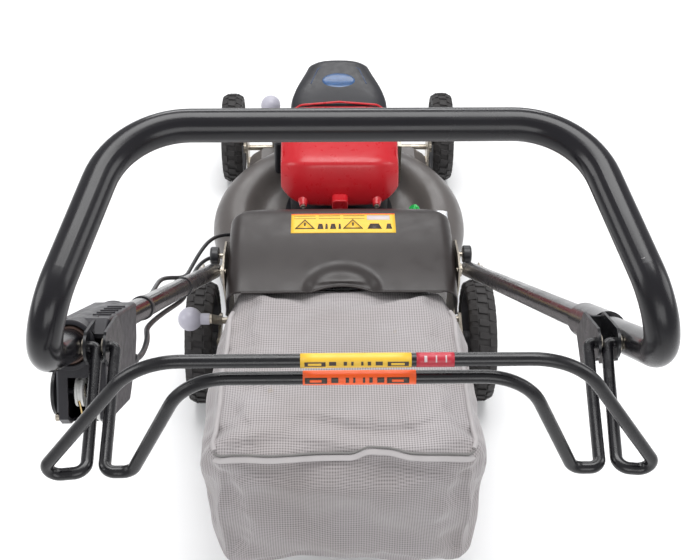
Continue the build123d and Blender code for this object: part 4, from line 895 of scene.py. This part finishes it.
def add_control_details():
    along = (leg(0) - leg(10)).normalized()
    up = Vector((0, along.z, -along.y))
    ring = [(-4, 20.6), (-1, 22.4), (1.5, 22.6), (2.5, 21.4), (2.5, 18.6), (-4, 18.4)]
    add_turned("box_collar", ring, leg(12), along, "box_plastic", "handle", sides=48)
    add_turned("box_collar_far", ring, leg(183), -along, "box_plastic", "handle", sides=48)
    ring = [(-2, 17.2), (2, 17.4), (4, 16.2), (4, 14.8), (-2, 14.8)]
    add_turned("tube_ring", ring, leg(14), along, made_materials["tube_brown"], "handle", slot="handle_paint",
               sides=48)
    for index, (back, offset) in enumerate(((40, -6), (78, -9), (40, -30))):
        centre = leg(back, -1.0, offset)
        centre.x = at(-215.6, 0, 0).x
        slot_piece = [(-3.2, -7.5), (3.2, -7.5), (3.2, 7.5), (-3.2, 7.5)]
        verts = [centre + along * u * MM + up * v * MM + Vector((w * MM, 0, 0)) for w in (-0.9, 0.5) for u,
                 v in slot_piece]
        faces = [(0, 1, 2, 3), (4, 5, 6, 7), (0, 1, 5, 4), (1, 2, 6, 5), (2, 3, 7, 6), (3, 0, 4, 7)]
        add_piece(f"box_slot_{index}", verts, faces, "black_knob", "handle", bevel=0.0006)
    for index in range(5):
        start = leg(60 + 18 * index, -1.0, 21.4)
        start.x = at(-219, 0, 0).x
        stop = Vector((at(-236, 0, 0).x, start.y, start.z))
        add_tube(f"box_rib_{index}", resampled([start, stop], 0.004), 0.0011, "box_plastic", "handle", sides=10)
    disc = [(0, 19), (1.5, 21.5), (4.0, 21.5), (5.0, 19.5), (5.0, 0.01)]
    add_turned("box_side_disc", disc, leg(36, -1.0, -44) + Vector((at(-261.5, 0, 0).x - leg(36).x, 0, 0)), (-1, 0, 0),
               "black_knob", "handle", sides=56)
    place = leg(24, -1.0, -66)
    place.x = at(-262, 0, 0).x
    add_lathe_screw("plate_screw", place, (-1, 0, 0), 3.6, 1.8, "zinc", "handle")
    button = [(-5, 5.0), (0, 5.2), (2.6, 4.9), (3.6, 3.6), (4.0, 0.01)]
    place = leg(20, -1.0, -64)
    place.x = at(-222, 0, 0).x
    add_turned("box_button", button, place, (0.25, -0.75, 0.55), "pulley_white", "handle", sides=32)
    low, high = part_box("cable_pulley")
    hub = Vector((low.x, (low.y + high.y) / 2, (low.z + high.z) / 2))
    hub_profile = [(-1.2, 2.0), (-0.6, 5.4), (0.5, 5.8), (1.0, 5.8)]
    add_turned("pulley_hub", hub_profile, Vector((high.x, hub.y, hub.z)), (1, 0, 0), "zinc", "cable_pulley", sides=32)
    wire_x = (low.x + high.x) / 2
    wire = [Vector((wire_x, hub.y - 0.0128, hub.z)), Vector((wire_x, hub.y - 0.0125, hub.z - 0.018)),
            Vector((wire_x, hub.y - 0.0115, hub.z - 0.026))]
    add_tube("inner_wire", resampled(wire, 0.002), 0.0011, made_materials["brass"], "handle", slot="zinc", sides=12)
    nut = [(0, 3.2), (0.8, 4.2), (4.4, 4.2), (5.2, 3.2)]
    add_turned("wire_nut", nut, Vector((wire_x, hub.y - 0.0115, hub.z - 0.0265)), (0, 0.06, -1), "zinc", "handle",
               sides=6)
    for side, name in ((-1, "left"), (1, "right")):
        for body, x in (("drive_bail", 231.6), ("blade_bail", 214.6)):
            cap = [(-0.4, 6.4), (0.6, 7.6), (1.6, 7.4), (2.2, 5.6), (2.4, 0.01)]
            add_turned(f"{name}_{body}_clip", cap, at(side * x, BAIL_AXIS_Y, BAIL_AXIS_Z), (side, 0, 0), "zinc", body,
                       sides=36)


# ================================================================ cables
def smooth_route(points):
    """Points along the NURBS line of a cable's route."""
    data = bpy.data.curves.new("route", "CURVE")
    data.dimensions = "3D"
    spline = data.splines.new("NURBS")
    spline.points.add(len(points) - 1)
    for target, point in zip(spline.points, points):
        target.co = (*point, 1.0)
    spline.order_u = 4
    spline.use_endpoint_u = True
    spline.resolution_u = 10
    holder = bpy.data.objects.new("route_holder", data)
    bpy.context.scene.collection.objects.link(holder)
    mesh = bpy.data.meshes.new_from_object(holder)
    line = [v.co.copy() for v in mesh.vertices]
    bpy.data.objects.remove(holder)
    bpy.data.meshes.remove(mesh)
    return line


def add_cables():
    """Two sheathed cables that bend beside the fold pivot."""
    fold_a, fold_b = at(-239, FOLD_Y, FOLD_Z), at(-249, FOLD_Y, FOLD_Z)
    back = Vector((0, -0.85, 0.53)).normalized() * MM
    exit_point = leg(182, -1.0, -36)
    ex = (exit_point.y - AXLE_Y) / MM
    ez = exit_point.z / MM
    brake = [at(-222, ex, ez), at(-222, ex + 30, ez - 40), at(-218, ex + 88, ez - 60), leg(330, -1, -25),
             leg(470, -1, -19),
             leg(611.8, -1, -19), at(-236, -190, 418), fold_a + back * 50, fold_a, fold_a - back * 45,
             at(-228, 30, 290),
             at(-208, 80, 246), at(-196, 128, 196), at(-192, 150, 172)]
    drive = [at(-236, ex, ez + 6), at(-240, ex + 40, ez - 16), at(-248, -560, 722), at(-252, -440, 640),
             at(-256, -320, 550),
             at(-268, -210, 474), fold_b + back * 60, fold_b, fold_b - back * 55, at(-230, 50, 310),
             at(-206, 104, 280),
             at(-176, 150, 232), at(-160, 176, 180)]
    for name, route, fold in (("brake", brake, fold_a), ("drive", drive, fold_b)):
        verts, faces = tube_mesh(smooth_route(route), CABLE_RADIUS, 16)
        piece = add_piece(f"{name}_cable_run", verts, faces, "cable", None,
                          replaces=(f"{name}_cable_upper", f"{name}_cable_lower"))
        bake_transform(piece)
    for name, start, direction in (("brake", brake[0], brake[1] - brake[0]),
                                   ("drive", drive[0], drive[1] - drive[0])):
        boot = [(-1, 5.2), (0, 6.0), (7, 6.0), (8, 5.0), (14, 5.0), (15, 4.2), (24, 3.8), (25, 3.3)]
        add_turned(f"{name}_adjuster", boot, start, direction, "black_knob", "handle", sides=28)


add_cowl()
add_top_cover()
add_filler_details()
add_tyres()
add_rear_cover()
add_bag()
add_bail_labels()
add_control_details()
add_cables()


# ================================================================ camera, light and floor
CAMERA_PLACE = at(-20, -1469, 1669)
CAMERA_PITCH, CAMERA_YAW, CAMERA_ROLL = math.radians(43.76), 0.0175, math.radians(0.38)
LENS_WIDTHS = 1184.4 / 700      # focal length in widths of the frame


def add_camera():
    """Camera at the operator's head height behind the handle, looking forward and down."""
    data = bpy.data.cameras.new("camera")
    data.sensor_width = 36.0
    data.lens = LENS_WIDTHS * data.sensor_width
    camera = bpy.data.objects.new("camera", data)
    bpy.context.scene.collection.objects.link(camera)
    turn = Matrix.Rotation(math.pi / 2 - CAMERA_PITCH, 4, "X") @ Matrix.Rotation(-CAMERA_YAW, 4, "Y")
    turn = turn @ Matrix.Rotation(-CAMERA_ROLL, 4, "Z")
    camera.matrix_world = Matrix.Translation(CAMERA_PLACE) @ turn
    bpy.context.scene.camera = camera


def area_light(name, place, target, size, power, tint=(1, 1, 1)):
    data = bpy.data.lights.new(name, "AREA")
    data.shape = "RECTANGLE"
    data.size, data.size_y = size
    data.energy = power
    data.color = tint
    light = bpy.data.objects.new(name, data)
    bpy.context.scene.collection.objects.link(light)
    light.location = place
    light.rotation_euler = (Vector(target) - Vector(place)).to_track_quat("-Z", "Y").to_euler()


def add_studio():
    world = bpy.data.worlds.new("studio")
    world.use_nodes = True
    background = world.node_tree.nodes["Background"]
    background.inputs["Color"].default_value = (0.96, 0.97, 1.0, 1)
    background.inputs["Strength"].default_value = 0.55
    bpy.context.scene.world = world
    area_light("top_softbox", (0.1, 0.3, 3.2), (0, -0.1, 0.4), (2.4, 1.6), 78)
    area_light("left_softbox", (-2.6, -0.6, 1.9), (0, -0.2, 0.5), (1.5, 1.5), 26)
    area_light("right_softbox", (2.6, -0.4, 1.9), (0, -0.2, 0.5), (1.5, 1.5), 22)
    area_light("front_strip", (0, 2.8, 2.2), (0, 0.2, 0.4), (2.6, 0.9), 34)
    area_light("operator_fill", (0.3, -3.0, 1.6), (0, -0.3, 0.5), (2.0, 1.2), 22)
    bpy.ops.mesh.primitive_plane_add(size=30, location=(0, 0, 0))
    floor = bpy.context.object
    floor.name = "studio_floor"
    floor.data.materials.append(plain("floor_look", (0.88, 0.88, 0.88), 0.9, variation=0.01, scale=2))


add_camera()
add_studio()
bpy.context.scene.view_settings.view_transform = "Standard"
